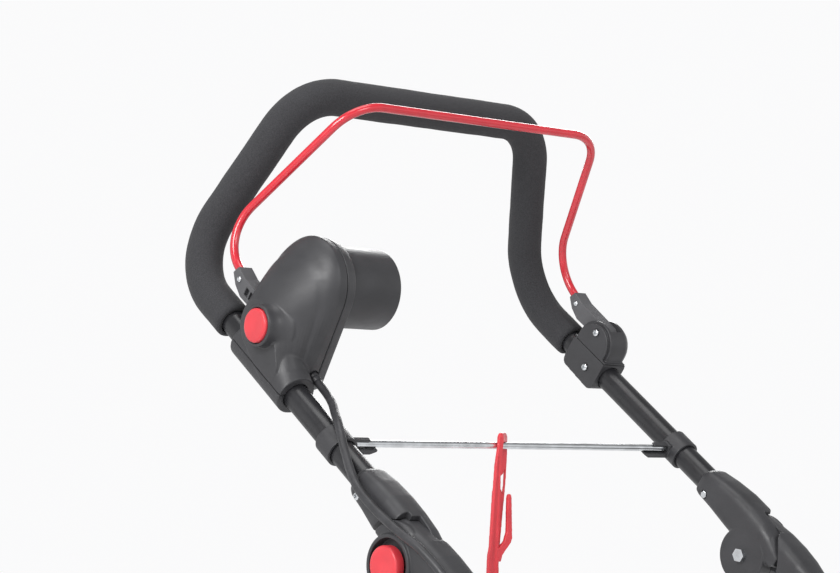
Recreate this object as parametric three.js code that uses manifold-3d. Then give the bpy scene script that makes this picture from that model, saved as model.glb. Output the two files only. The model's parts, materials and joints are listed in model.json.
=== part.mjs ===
// Folding operator handlebar of a corded walk-behind snow thrower.
//
// Millimetres, +Z up, -Y is the way the machine drives. Everything is modelled in the plane of the
// handle's two legs and then leaned back by handleSlope:
//   x  across the machine; the switch side, called near, is -x and the other side is far
//   y  along the legs: 0 at their upper bends, negative down to the feet at footY
//   z  out of the legs' plane, up and forwards
import * as THREE from 'three';
import { mergeVertices } from 'three/addons/utils/BufferGeometryUtils.js';
import Module from 'manifold-3d';

const wasm = await Module();
wasm.setup();

// ---------------------------------------------------------------- driving dimensions
const handleSlope = 37.9;                 // degrees that the legs stand above the horizontal
const gap = 0.3;                          // space left between pieces that touch

const legX = 228.2;                       // half the spacing of the legs' centre lines
const tubeRadius = 12.5;
const tubeWall = 1.5;
const upperLegEndY = -382;                // where the upper legs end inside the fold knuckles
const gripCorner = { x: 156.2, y: 30.2, z: 186.1 };
const legBendRadius = 70;
const gripBendRadius = 62;
const foamRadius = 18.2;
const foamEndY = -98;

const bailRadius = 4.25;
const bailShoulder = { x: 226.5, y: -28.7, z: 52.6 };
const bailCorner = { x: 162.9, y: -53.4, z: 223 };
const bailEnd = { y: -97, z: 38.3 };
const rivetPlace = { y: -86, z: 40.6 };
const bailPivot = { y: -136, z: 37 };     // axis that the bail's two levers turn on
const leverThickness = 16;

const housingInnerX = 211;                // far lever housing, from its inner face
const housingOuterX = 245;                // to its outer face
const housingSplitZ = 16.4;

const collarAxis = { y: -149, z: 78.4 };
const collarRadius = 38;
const collarWall = 3;
const collarMouthX = -128;
const caseFaceX = -188;                   // inner face of the switch case
const caseSplitX = -200;                  // joint between the case's two shells
const caseWidestX = -209;
const caseCrownX = -248;
const caseWall = 3;
const caseOutline = [                     // the case's outline is the hull of these three circles
  { y: collarAxis.y, z: collarAxis.z, radius: 46.5 },
  { y: -137, z: 4, radius: 19 },
  { y: -185, z: 5, radius: 19 },
];
const caseCrown = [                       // each of them closes in towards its own circle at the crown
  { y: -147, z: 31, radius: 23 },
  { y: -147, z: 31, radius: 23 },
  { y: -186, z: 9, radius: 14 },
];
const caseScrewPlaces = [{ y: -117, z: 40 }, { y: -190.5, z: 34 }, { y: -134, z: -6 }, { y: -190, z: -6 }];
const saddleRadius = 19.5;                // the part of the case that wraps the leg
const saddleTopY = -126;
const saddleEndY = -216;

const buttonAxis = { y: -160, z: 38 };
const buttonRadius = 16;
const bossRadius = 19.5;
const bossRimX = -258.5;
const buttonFaceX = -261;

const rodY = -287.5;                      // cross rod that the cord hook slides on
const rodRadius = 3.3;
const rodEndX = 210;
const clipRadius = 15.7;
const clipEnds = [-279, -301];

const foldPivot = { y: -430, z: -24 };
const knuckleDiscRadius = 28;
const outerReach = 40;                    // in the outer half the upper knuckle starts at this radius
const innerReach = 45.5;                  // in the inner half the lower knuckle starts at this radius
const knuckleFaceX = -252;                // outer face of the joint's disc
const knuckleInnerX = -211.5;
const knuckleSplitX = -228.2;
const knuckleBolts = { upper: { y: -355, z: -7 }, lower: { y: -494, z: -5 } };
const lockRadius = 15;
const releaseRadius = 17.8;
const releaseRecess = 24;
const releaseFloorX = -243;

const footY = -660;
const lowerTubeTopY = -480;
const footWidth = 34;
const footThickness = 8;
const footBolt = 4.25;

const cableRadius = 4;

// ---------------------------------------------------------------- finishes
const finish = (color, roughness, metalness = 0) =>
  new THREE.MeshStandardMaterial({ color, roughness, metalness });
const foam = () => finish(0x4a4a4d, 0.95);
const blackPaint = () => finish(0x26272a, 0.35, 0.2);
const darkPlastic = () => finish(0x4b4b4f, 0.5);
const greyPlastic = () => finish(0x6c6c70, 0.5);
const redPaint = () => finish(0xd9303c, 0.3);
const redPlastic = () => finish(0xe8555c, 0.4);
const zinc = () => finish(0xc9cdd2, 0.3, 1);
const springSteel = () => finish(0x9a9da3, 0.35, 1);
const brass = () => finish(0xc9a458, 0.3, 1);
const rubber = () => finish(0x3a3a3d, 0.7);

// ---------------------------------------------------------------- shape helpers
const at = (x, y, z) => new THREE.Vector3(x, y, z);
const mirrorX = (point) => at(-point.x, point.y, point.z);

// A closed three.js geometry as a solid that can be joined and cut.
function solid(geometry) {
  const plain = geometry.index ? geometry.toNonIndexed() : geometry.clone();
  plain.deleteAttribute('normal');
  plain.deleteAttribute('uv');
  const merged = mergeVertices(plain, 1e-4);
  return new wasm.Manifold(new wasm.Mesh({
    numProp: 3,
    vertProperties: new Float32Array(merged.attributes.position.array),
    triVerts: new Uint32Array(merged.index.array),
  }));
}

const join = (first, ...others) => others.reduce((sum, piece) => sum.add(piece), first);
const cut = (first, ...tools) => tools.reduce((rest, tool) => rest.subtract(tool), first);

function geometryOf(piece, mirrored = false) {
  const mesh = piece.getMesh();
  const positions = Float32Array.from(mesh.vertProperties);
  const triangles = Uint32Array.from(mesh.triVerts);
  if (mirrored) {
    for (let i = 0; i < positions.length; i += 3) positions[i] *= -1;
    for (let i = 0; i < triangles.length; i += 3) {
      [triangles[i], triangles[i + 1]] = [triangles[i + 1], triangles[i]];
    }
  }
  const geometry = new THREE.BufferGeometry();
  geometry.setAttribute('position', new THREE.BufferAttribute(positions, 3));
  geometry.setIndex(new THREE.BufferAttribute(triangles, 1));
  geometry.computeVertexNormals();
  return geometry;
}

function box([x0, x1], [y0, y1], [z0, z1]) {
  const geometry = new THREE.BoxGeometry(Math.abs(x1 - x0), Math.abs(y1 - y0), Math.abs(z1 - z0));
  geometry.translate((x0 + x1) / 2, (y0 + y1) / 2, (z0 + z1) / 2);
  return solid(geometry);
}

// A round bar, or a cone where the end radius differs, from one point to another.
function bar(radius, from, to, sides = 16, endRadius = radius) {
  const along = to.clone().sub(from);
  const geometry = new THREE.CylinderGeometry(endRadius, radius, along.length(), sides);
  geometry.applyQuaternion(
    new THREE.Quaternion().setFromUnitVectors(at(0, 1, 0), along.clone().normalize()));
  geometry.translate(...from.clone().addScaledVector(along, 0.5).toArray());
  return solid(geometry);
}
const barX = (radius, [x0, x1], { y, z }, sides = 16, endRadius = radius) =>
  bar(radius, at(x0, y, z), at(x1, y, z), sides, endRadius);

// A hole's facets stand outside its true circle, so that it clears a round piece all the way.
const hole = (radius, from, to, sides = 16) => bar(radius / Math.cos(Math.PI / sides), from, to, sides);
const holeX = (radius, [x0, x1], { y, z }, sides = 16) =>
  hole(radius, at(x0, y, z), at(x1, y, z), sides);

// An outline in the handle's side view, given as [y, z] points, pulled out across x.
function sideProfile(points, [x0, x1]) {
  const shape = new THREE.Shape(points.map(([y, z]) => new THREE.Vector2(y, z)));
  const geometry = new THREE.ExtrudeGeometry(shape, { depth: x1 - x0, bevelEnabled: false });
  geometry.applyMatrix4(new THREE.Matrix4().set(
    0, 0, 1, x0,
    1, 0, 0, 0,
    0, 1, 0, 0,
    0, 0, 0, 1));
  return solid(geometry);
}

// Points along an arc in the side view, from one angle to another in degrees.
function arc({ y, z }, radius, from, to, steps) {
  return Array.from({ length: steps + 1 }, (_, i) => {
    const angle = THREE.MathUtils.degToRad(from + (to - from) * i / steps);
    return [y + radius * Math.cos(angle), z + radius * Math.sin(angle)];
  });
}

// A closed skin through rings that all hold the same number of points, flat at both ends. The
// rings run round clockwise as seen from the end that they start from.
function loft(rings) {
  const count = rings[0].length;
  const corners = rings.flat();
  const triangles = [];
  for (let r = 0; r + 1 < rings.length; r++) {
    for (let i = 0; i < count; i++) {
      const a = r * count + i;
      const b = r * count + (i + 1) % count;
      triangles.push(a, b, b + count, a, b + count, a + count);
    }
  }
  const last = (rings.length - 1) * count;
  for (let i = 1; i + 1 < count; i++) {
    triangles.push(0, i + 1, i, last, last + i, last + i + 1);
  }
  const geometry = new THREE.BufferGeometry().setFromPoints(corners);
  geometry.setIndex(triangles);
  return solid(geometry);
}

// Straight runs joined by round bends. Stations stand only at the ends of the straight runs and
// along the bends, so a straight run is one step long.
class PipePath extends THREE.Curve {
  constructor(corners, radii, bendSteps) {
    super();
    this.points = [corners[0]];
    this.directions = [corners[1].clone().sub(corners[0]).normalize()];
    for (let i = 1; i + 1 < corners.length; i++) {
      const incoming = corners[i].clone().sub(corners[i - 1]).normalize();
      const outgoing = corners[i + 1].clone().sub(corners[i]).normalize();
      const turn = incoming.angleTo(outgoing);
      const radius = radii[i - 1];
      const inwards = outgoing.clone().addScaledVector(incoming, -Math.cos(turn)).normalize();
      const start = corners[i].clone().addScaledVector(incoming, -radius * Math.tan(turn / 2));
      const centre = start.clone().addScaledVector(inwards, radius);
      for (let k = 0; k <= bendSteps; k++) {
        const angle = turn * k / bendSteps;
        this.points.push(centre.clone()
          .addScaledVector(inwards, -radius * Math.cos(angle))
          .addScaledVector(incoming, radius * Math.sin(angle)));
        this.directions.push(incoming.clone().multiplyScalar(Math.cos(angle))
          .addScaledVector(inwards, Math.sin(angle)));
      }
    }
    this.points.push(corners.at(-1));
    this.directions.push(this.directions.at(-1));
    this.steps = this.points.length - 1;
  }
  getUtoTmapping(u) {
    return u;
  }
  getPoint(t, target = new THREE.Vector3()) {
    return target.copy(this.points[Math.round(t * this.steps)]);
  }
  getTangent(t, target = new THREE.Vector3()) {
    return target.copy(this.directions[Math.round(t * this.steps)]);
  }
}

const circlePoints = (radius, sides) => Array.from({ length: sides }, (_, i) =>
  new THREE.Vector2(radius * Math.cos(2 * Math.PI * i / sides), radius * Math.sin(2 * Math.PI * i / sides)));

function pipe(path, radius, sides, bore = 0, boreSides = sides) {
  const shape = new THREE.Shape(circlePoints(radius, sides));
  if (bore) shape.holes.push(new THREE.Path(circlePoints(bore, boreSides)));
  return solid(new THREE.ExtrudeGeometry(shape, { steps: path.steps, extrudePath: path }));
}

// A compression spring on an axis along x, or along z where upright is set.
class Helix extends THREE.Curve {
  constructor(radius, start, length, turns, upright) {
    super();
    Object.assign(this, { radius, start, length, turns, upright });
  }
  getPoint(t, target = new THREE.Vector3()) {
    const angle = 2 * Math.PI * this.turns * t;
    const [side, rise] = [this.radius * Math.cos(angle), this.radius * Math.sin(angle)];
    return this.upright
      ? target.set(this.start.x + side, this.start.y + rise, this.start.z + this.length * t)
      : target.set(this.start.x + this.length * t, this.start.y + side, this.start.z + rise);
  }
}

function spring(radius, start, length, turns, upright = false) {
  const shape = new THREE.Shape(circlePoints(0.6, 5));
  const path = new Helix(radius, start, length, turns, upright);
  return solid(new THREE.ExtrudeGeometry(shape, { steps: turns * 10, extrudePath: path }));
}

// A screw along x: a domed head with its face at headX, and a shank that ends at endX.
function screwX(headX, endX, place, headRadius = 3.8, shankRadius = 2.2) {
  const inwards = Math.sign(endX - headX);
  const underHead = headX + inwards * 2.4;
  return join(
    barX(headRadius * 0.75, [headX, headX + inwards * 0.9], place, 12, headRadius),
    barX(headRadius, [headX + inwards * 0.9, underHead], place, 12),
    barX(shankRadius, [underHead, endX], place, 8));
}

// ---------------------------------------------------------------- the group
const handle = new THREE.Group();
function add(name, piece, material, mirrored = false) {
  const mesh = new THREE.Mesh(geometryOf(piece, mirrored), material);
  mesh.name = name;
  handle.add(mesh);
}

// ---------------------------------------------------------------- upper tube and grip
const nearShoulder = at(-legX, 0, 0);
const nearCorner = at(-gripCorner.x, gripCorner.y, gripCorner.z);
const handlePath = (endY) => new PipePath(
  [at(-legX, endY, 0), nearShoulder, nearCorner, mirrorX(nearCorner), mirrorX(nearShoulder),
    at(legX, endY, 0)],
  [legBendRadius, gripBendRadius, gripBendRadius, legBendRadius], 6);
const legAt = (y) => at(-legX, y, 0);
const farLegAt = (y) => at(legX, y, 0);

function upperTube() {
  const tube = pipe(handlePath(upperLegEndY), tubeRadius, 12, tubeRadius - tubeWall, 6);
  const housingBolt = holeX(2.6, [housingInnerX - 10, housingOuterX + 10], { y: -144.4, z: -1.3 }, 8);
  const legBolt = (x) => holeX(2.6, [x - 20, x + 20], knuckleBolts.upper, 8);
  return cut(tube, housingBolt, legBolt(-legX), legBolt(legX));
}
add('upper_tube', upperTube(), blackPaint());
add('foam_grip', pipe(handlePath(foamEndY), foamRadius, 14, tubeRadius + 0.8, 12), foam());

// ---------------------------------------------------------------- bail and its levers
function bailRod() {
  const end = at(-bailShoulder.x, bailEnd.y, bailEnd.z);
  const shoulder = at(-bailShoulder.x, bailShoulder.y, bailShoulder.z);
  const corner = at(-bailCorner.x, bailCorner.y, bailCorner.z);
  const path = new PipePath(
    [end, shoulder, corner, mirrorX(corner), mirrorX(shoulder), mirrorX(end)], [44, 47, 47, 44], 6);
  const rivetHoles = [-1, 1].map((side) =>
    holeX(1.9, [side * bailShoulder.x - 12, side * bailShoulder.x + 12], rivetPlace, 8));
  return cut(pipe(path, bailRadius, 8), ...rivetHoles);
}
add('bail_rod', bailRod(), redPaint());

const leverX = [-bailShoulder.x - leverThickness / 2, -bailShoulder.x + leverThickness / 2];

// A tapered lever: its thin end holds the bail's wire and its round end turns on the pivot.
function leverBody(tail) {
  const hubRadius = 8;
  const outline = [
    [-74, 41], [-78, 49.5], [-93, 46],
    ...arc(bailPivot, hubRadius, 90, 270, 8),
    [-97, 28], [-84, 33],
  ];
  const wireSocket = hole(bailRadius + gap,
    at(-bailShoulder.x, bailShoulder.y, bailShoulder.z),
    at(-bailShoulder.x, bailEnd.y - 1, bailEnd.z - 0.2), 12);
  const pocket = (y) => box([leverX[0] - 1, leverX[0] + 5], [y, y + 6], [33, 41]);
  const body = tail
    ? join(sideProfile(outline, leverX), sideProfile(tail, leverX))
    : sideProfile(outline, leverX);
  return cut(body, wireSocket,
    holeX(2.5, [leverX[0] - 1, leverX[1] + 1], bailPivot, 12),
    holeX(1.9, [leverX[0] - 1, leverX[1] + 1], rivetPlace, 8),
    pocket(-106), pocket(-114));
}
const leverTail = [[-138, 30], [-138, 41], [-153, 41], [-154.5, 37], [-152, 33.5]];
add('bail_lever_near', leverBody(leverTail), greyPlastic());
add('bail_lever_far', leverBody(), greyPlastic(), true);

function bailRivet() {
  const [inner, outer] = [leverX[1] + 0.3, leverX[0] - 0.3];
  return join(
    barX(1.6, [inner, outer], rivetPlace, 8),
    barX(3, [inner + 1.2, inner], rivetPlace, 10),
    barX(3, [outer, outer - 1.2], rivetPlace, 10));
}
add('bail_rivet_near', bailRivet(), zinc());
add('bail_rivet_far', bailRivet(), zinc(), true);

// ---------------------------------------------------------------- far lever housing
const halfGap = gap / 2;
const leverSlotX = [bailShoulder.x - leverThickness / 2 - 0.5, bailShoulder.x + leverThickness / 2 + 0.5];

function farHousingCap() {
  const arch = [[-163, housingSplitZ + halfGap], ...arc({ y: -137.5, z: 23 }, 25.5, 180, 0, 14),
    [-112, housingSplitZ + halfGap]];
  const slot = sideProfile([[-147, 26], [-147, 47], [-130, 60], [-90, 60], [-90, 16.7], [-122, 16.7]],
    leverSlotX);
  const drum = sideProfile(arch, [housingInnerX, housingOuterX - 4]);
  const drumEnd = barX(25.5, [housingOuterX - 4, housingOuterX], { y: -137.5, z: 23 }, 28, 21.5);
  const underside = box([housingInnerX - 1, housingOuterX + 1], [-200, -90],
    [-40, housingSplitZ + halfGap]);
  return cut(join(drum, drumEnd), underside, slot,
    holeX(2.4, [housingInnerX - 1, housingOuterX + 1], bailPivot, 10));
}

function farHousingClamp() {
  const block = sideProfile([
    [-112, housingSplitZ - halfGap], [-112, -11], [-116, -16], [-160, -18], [-165, -14],
    [-165, housingSplitZ - halfGap],
  ], [housingInnerX, housingOuterX]);
  return cut(block,
    hole(tubeRadius + gap, farLegAt(-100), farLegAt(-180), 24),
    holeX(2.4, [housingInnerX - 1, housingOuterX + 1], { y: -144.4, z: -1.3 }, 10));
}
add('lever_housing_cap', farHousingCap(), darkPlastic());
add('lever_housing_clamp', farHousingClamp(), darkPlastic());
add('housing_screw_upper',
  screwX(housingInnerX - 2.6, housingOuterX - 1, bailPivot), zinc());
add('housing_screw_lower',
  screwX(housingInnerX - 2.6, housingOuterX - 1, { y: -144.4, z: -1.3 }), zinc());

// ---------------------------------------------------------------- switch case
// The case's outline at one x: each circle moves and shrinks towards its crown by `closing`.
function caseRing(x, closing, inset = 0, sides = 30) {
  const circles = caseOutline.map((circle, i) => ({
    y: THREE.MathUtils.lerp(circle.y, caseCrown[i].y, closing),
    z: THREE.MathUtils.lerp(circle.z, caseCrown[i].z, closing),
    radius: THREE.MathUtils.lerp(circle.radius, caseCrown[i].radius, closing) - inset,
  }));
  return Array.from({ length: sides }, (_, i) => {
    const [c, s] = [Math.cos(2 * Math.PI * i / sides), Math.sin(2 * Math.PI * i / sides)];
    const reach = (circle) => circle.y * c + circle.z * s + circle.radius;
    const outer = circles.reduce((best, circle) => (reach(circle) > reach(best) ? circle : best));
    return at(x, outer.y + outer.radius * c, outer.z + outer.radius * s);
  });
}

function caseDome(inset, steps) {
  const rings = [];
  if (inset === 0) {
    rings.push(caseRing(caseFaceX, 0, 4), caseRing(caseFaceX - 5, 0, 2.4), caseRing(caseSplitX, 0, 1));
  } else {
    rings.push(caseRing(caseFaceX - inset, 0, inset + 3), caseRing(caseSplitX, 0, inset + 1));
  }
  for (let i = 0; i <= steps; i++) {
    const t = i / steps;
    rings.push(caseRing(THREE.MathUtils.lerp(caseWidestX, caseCrownX + inset, t), t ** 1.5, inset));
  }
  return loft(rings.reverse());
}

const legSaddle = (radius, from, to) => bar(radius, legAt(from), legAt(to), 20);
const caseInside = caseDome(caseWall, 4);
// Fills the corner between the dome and the saddle, down to the saddle's end.
const caseFairing = loft([[-216, 0, 19.5], [-206, 2, 22], [-190, 7, 27.5], [-168, 12, 32]].map(
  ([y, z, halfHeight]) => Array.from({ length: 24 }, (_, i) => {
    const angle = 2 * Math.PI * i / 24;
    return at(-legX + (saddleRadius + 0.2) * Math.cos(angle), y, z - halfHeight * Math.sin(angle));
  })));
const caseOutside = join(caseDome(0, 6), legSaddle(saddleRadius, saddleTopY, saddleEndY), caseFairing);
const legHole = hole(tubeRadius + gap, legAt(-80), legAt(-240), 16);
const innerSide = box([caseSplitX - halfGap, 0], [-400, 100], [-100, 200]);
const outerSide = box([-400, caseSplitX + halfGap], [-400, 100], [-100, 200]);
const aboveLeg = box([-400, 0], [-400, 100], [-halfGap, 200]);
const belowLeg = box([-400, 0], [-400, 100], [-100, halfGap]);
const gland = { from: at(-205, -190, 13), to: at(-206, -212, 13), end: at(-207, -234, 13) };

function caseOuterShell() {
  const boss = barX(bossRadius, [-228, bossRimX], buttonAxis, 24);
  const bossBore = holeX(buttonRadius + 0.6, [-238, bossRimX - 1], buttonAxis, 20);
  const stemBore = holeX(7, [-200, -245], buttonAxis, 10);
  const leverSlot = box([leverX[0] - 0.8, leverX[1] + 0.8], [-70, -128], [13.5, 56]);
  const skin = cut(join(caseOutside, boss), caseInside, legHole);
  const floor = box([-247, -209], [-214, -126], [12, 15.5]).intersect(caseOutside);
  const screwPosts = caseScrewPlaces.slice(0, 2).map((place) =>
    cut(barX(6.2, [caseSplitX - halfGap, -216], place), holeX(2.1, [caseSplitX, -213], place, 8)));
  return cut(join(skin, cut(floor, legHole), ...screwPosts), innerSide, belowLeg, bossBore, stemBore,
    leverSlot,
    hole(cableRadius + 1.8, gland.from, gland.end, 12));
}

function caseInnerShell() {
  const collarHole = holeX(collarRadius + gap, [caseFaceX + 2, caseFaceX - 6], collarAxis, 30);
  const skin = cut(caseDome(0, 6), caseInside, outerSide);
  return cut(skin, collarHole, hole(cableRadius + 1.8, gland.from, gland.end, 12),
    ...caseScrewPlaces.map((place) => holeX(2.6, [caseFaceX + 1, caseSplitX - 1], place, 8)));
}

function legClamp() {
  const saddle = cut(caseOutside, aboveLeg, innerSide, legHole);
  return cut(saddle, ...caseScrewPlaces.map((place) => holeX(2.1, [caseSplitX + 1, -212], place, 8)));
}
add('switch_case_outer', caseOuterShell(), darkPlastic());
add('switch_case_inner', caseInnerShell(), darkPlastic());
add('switch_leg_clamp', legClamp(), darkPlastic());

caseScrewPlaces.forEach((place, i) =>
  add(`case_screw_${i + 1}`, screwX(caseFaceX + 2.7, caseSplitX - 10, place, 3.6, 1.9), zinc()));

function plugCollar() {
  const sleeve = barX(collarRadius, [collarMouthX, -191.3], collarAxis, 30);
  const flange = barX(collarRadius + 1.6, [-191.3, -194], collarAxis, 30);
  const mouth = holeX(collarRadius - collarWall, [collarMouthX + 1, -182], collarAxis, 30);
  const rearOpening = holeX(24, [-180, -200], collarAxis, 20);
  return cut(join(sleeve, flange), mouth, rearOpening);
}
add('plug_collar', plugCollar(), darkPlastic());

const pinSpacing = 19;
const pinPlaces = [-1, 1].map((side) => ({ y: collarAxis.y + side * pinSpacing / 2, z: collarAxis.z }));
function plugInsert() {
  const disc = barX(collarRadius - collarWall - gap, [-174, -181.7], collarAxis, 28);
  const neck = barX(23.6, [-181.7, -196], collarAxis, 18);
  return cut(join(disc, neck), ...pinPlaces.map((place) => holeX(2.6, [-170, -200], place, 10)));
}
add('plug_insert', plugInsert(), greyPlastic());
pinPlaces.forEach((place, i) =>
  add(`plug_pin_${i + 1}`, barX(2.4, [-155, -200], place, 10), brass()));

// ---------------------------------------------------------------- inside the switch case
const safetySwitch = { y: [-162, -138], z: [57, 74], x: [-211, -228] };
const plungerAxis = { x: -222, y: -149 };
const plungerTipZ = 41.4;
const onPlunger = (z) => at(plungerAxis.x, plungerAxis.y, z);
function switchBlock() {
  const block = box(safetySwitch.x, safetySwitch.y, safetySwitch.z);
  const terminals = [-158, -150, -142].map((y) => box([-219, -220.5], [y - 2, y + 2], [74, 80]));
  const plungerHole = hole(2.6, onPlunger(56), onPlunger(69), 10);
  return cut(join(block, ...terminals), plungerHole);
}
add('safety_switch', switchBlock(), darkPlastic());
add('safety_plunger', join(
  bar(2.3, onPlunger(plungerTipZ), onPlunger(62.5), 10),
  bar(3.4, onPlunger(plungerTipZ), onPlunger(plungerTipZ + 1.6), 12)), redPlastic());
add('safety_spring',
  spring(3.2, onPlunger(plungerTipZ + 2.8), 12, 4, true), springSteel());
add('lever_pin_near', screwX(-213.4, -241, bailPivot, 3.8, 2.1), zinc());

function startButton() {
  const cap = join(
    barX(buttonRadius, [-249, buttonFaceX + 1.5], buttonAxis, 20),
    barX(buttonRadius, [buttonFaceX + 1.5, buttonFaceX], buttonAxis, 20, buttonRadius - 1.8));
  return join(cap, barX(3, [-249, -240.5], buttonAxis, 12));
}
add('start_button', startButton(), redPlastic());
add('start_spring', spring(5.4, at(-247.8, buttonAxis.y, buttonAxis.z), 8.2, 3), springSteel());

// ---------------------------------------------------------------- cross rod, clips and cord hook
const rodPlace = { y: rodY, z: 0 };
add('cross_rod', barX(rodRadius, [-rodEndX, rodEndX], rodPlace, 14), zinc());

function rodClip() {
  const band = legSaddle(clipRadius, clipEnds[0], clipEnds[1]);
  const upperProng = box([-214, -190], [rodY - 2.6, rodY + 2.6], [rodRadius + gap, 5.4]);
  const lowerProng = box([-214, -179], [rodY - 5, rodY + 5], [-8.8, -rodRadius - gap]);
  const root = box([-216, -rodEndX - gap], [rodY - 5, rodY + 5], [-8.8, 6.2]);
  return cut(join(band, upperProng, lowerProng, root),
    hole(tubeRadius + gap, legAt(-250), legAt(-330), 16));
}
add('rod_clip_near', rodClip(), darkPlastic());
add('rod_clip_far', rodClip(), darkPlastic(), true);

// The hook is drawn hanging straight down from the rod, as [across, down] from the rod's centre. Its
// front bar and its rear strap stand beside each other along the rod, bridged aslant over the rod.
const hookX = -23.5;
const hookHang = THREE.MathUtils.degToRad(-handleSlope + 3);
const hookClear = rodRadius + gap;
const hookFrontY = [-hookClear - 3.4, -hookClear];
const hookRearY = [hookClear, hookClear + 2.8];
function hookPlate(points, [y0, y1]) {
  const shape = new THREE.Shape(points.map(([across, down]) => new THREE.Vector2(across, -down)));
  const geometry = new THREE.ExtrudeGeometry(shape, { depth: y1 - y0, bevelEnabled: false });
  geometry.rotateX(Math.PI / 2);
  geometry.translate(0, y1, 0);
  return solid(geometry);
}
function hookBridge() {
  const [front, rear] = [hookFrontY[0], hookRearY[1]];
  const slice = (inset, z) => [
    at(-7.2 + inset, front + inset / 2, z), at(-1.7 - inset / 2, front + inset / 2, z),
    at(13.4 - inset, hookClear, z), at(13.4 - inset, rear - inset / 2, z),
    at(6.5 + inset / 2, rear - inset / 2, z), at(-7.2 + inset, -hookClear, z),
  ];
  return loft([slice(0, hookClear), slice(0, 8), slice(0.9, 10.4), slice(2.6, 12.2)]);
}
function cordHook() {
  const bar = hookPlate([[-7.2, -5], [-1.7, -5], [-1.7, 0], [-4, 18], [-3.2, 60], [-3.5, 98], [-2, 124],
    [-3.5, 146], [-8, 151], [-14.5, 149], [-16.5, 140], [-15.7, 104], [-14.1, 96], [-12.3, 60],
    [-10.1, 18], [-7.6, 2]], hookFrontY);
  const prong = hookPlate([[-4, 98], [4.4, 90.6], [7.3, 82], [6.8, 50], [7.6, 46.8], [9.2, 45.6],
    [10.8, 46.8], [11.6, 50], [14.1, 88], [12.6, 92], [-4, 110]], hookFrontY);
  const strap = hookPlate([[6.5, -5], [13.4, -5], [13.9, 8], [13.2, 30], [12.2, 46], [10.7, 62], [8, 98],
    [4, 110], [-5, 110], [-2.5, 44], [2, 36], [4.5, 20]], hookRearY);
  const window = hookPlate([[3.5, 31], [9.4, 27], [12.1, 20], [11.6, 38], [10.2, 48], [7.6, 42], [3.5, 41]],
    hookRearY.map((y, i) => y + (i ? 1 : -1)));
  const web = hookPlate([[-5, 100], [-2, 96], [4, 100], [1, 110], [-4.5, 110]],
    [hookFrontY[0] + 1, hookRearY[1]]);
  const groove = hookPlate([[-7.4, 10], [-5.4, 10], [-5.6, 60], [-7, 136], [-11, 136], [-10, 60]],
    [hookFrontY[0] - 1, hookFrontY[0] + 1]);
  return cut(join(bar, prong, cut(strap, window), hookBridge(), web), groove);
}
{
  const mesh = new THREE.Mesh(geometryOf(cordHook()), redPlastic());
  mesh.name = 'cord_hook';
  mesh.position.set(hookX, rodY, 0);
  mesh.rotation.x = hookHang;
  handle.add(mesh);
}

// ---------------------------------------------------------------- fold knuckles

// A shell's rounded section across the leg, between two heights and two sides.
function shellRing([y, low, high, outerX, innerX]) {
  const rounded = (value) => Math.sign(value) * Math.abs(value) ** 0.62;
  return Array.from({ length: 16 }, (_, i) => {
    const angle = 2 * Math.PI * (i + 0.5) / 16;
    return at((outerX + innerX) / 2 + (innerX - outerX) / 2 * rounded(Math.cos(angle)), y,
      (low + high) / 2 + (high - low) / 2 * rounded(Math.sin(angle)));
  });
}

const outerHalfSpace = box([-400, knuckleSplitX - halfGap], [-600, -300], [-100, 100]);
const innerHalfSpace = box([knuckleSplitX + halfGap, -100], [-600, -300], [-100, 100]);
const boltSeats = (place) => [
  holeX(2.5, [-270, -200], place, 8),
  holeX(4.4, [-270, -243.6], place, 12),
  holeX(4.4, [-214.6, -190], place, 12),
];
const knuckleBolt = (place) => join(
  screwX(-246.2, -214.2, place),
  barX(3.8, [-214.2, -212], place, 6));

const upperShell = () => loft([
  [-342, -13.5, 13.5, -243, -213.5],
  [-347, -15, 16, -245, -212.5],
  [-366, -16, 19.2, -247, -211.5],
  [-390, -19, 21.3, -249, -211.5],
  [-411, -21, 21, -249.5, -211.5],
  [-432, -21, 18.8, -249.5, -211.5],
  [-447, -19, 14.5, -248.5, -212],
  [-458, -16, 8.5, -247, -213],
  [-466, -11, 2.5, -245, -214.5],
].map(shellRing));
const lowerShell = () => loft([
  [-406, -16, 12, -246, -216],
  [-414, -20, 15, -248, -214.5],
  [-430, -21, 17, -249.5, -213.5],
  [-450, -21, 19, -249.5, -213],
  [-470, -19.5, 19, -249, -212],
  [-490, -16.5, 17.5, -247, -211.5],
  [-507, -14.5, 14.5, -244, -213],
  [-512, -13.5, 13.5, -243, -213.5],
].map(shellRing));

// The front seam between the knuckles steps down at seamStepX, from one height on the leg to another.
const seamStepX = -238;
const seamY = { outer: -411.5, inner: -417 };

// The knuckle on the upper leg: a whole shell above the joint, and only its inner half at the pivot.
function upperKnuckle() {
  const innerHalf = join(upperShell().intersect(innerHalfSpace),
    barX(knuckleDiscRadius, [knuckleSplitX + halfGap, knuckleInnerX], foldPivot, 20));
  const outerHalf = cut(upperShell(),
    box([knuckleSplitX + halfGap + 1, -100], [-600, -300], [-100, 100]),
    holeX(outerReach + gap, [-260, knuckleSplitX + halfGap], foldPivot, 24),
    box([-260, seamStepX + 0.1], [-600, seamY.outer], [-100, 100]),
    box([seamStepX, knuckleSplitX + halfGap], [-600, seamY.inner], [-100, 100]));
  const legSocket = hole(tubeRadius + gap, legAt(-330), legAt(upperLegEndY - gap), 16);
  return cut(join(innerHalf, outerHalf), legSocket,
    gearProfile(lockRadius + 0.35, lockRadius - 2.3, [knuckleSplitX - 1, knuckleSplitX + 11.5]),
    holeX(4.3, [knuckleSplitX - 1, knuckleInnerX + 1], foldPivot, 12),
    ...boltSeats(knuckleBolts.upper));
}

const lockPegPlaces = [90, 210, 330].map((angle) => {
  const turn = THREE.MathUtils.degToRad(angle);
  return { y: foldPivot.y + 10.5 * Math.cos(turn), z: foldPivot.z + 10.5 * Math.sin(turn) };
});

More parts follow.
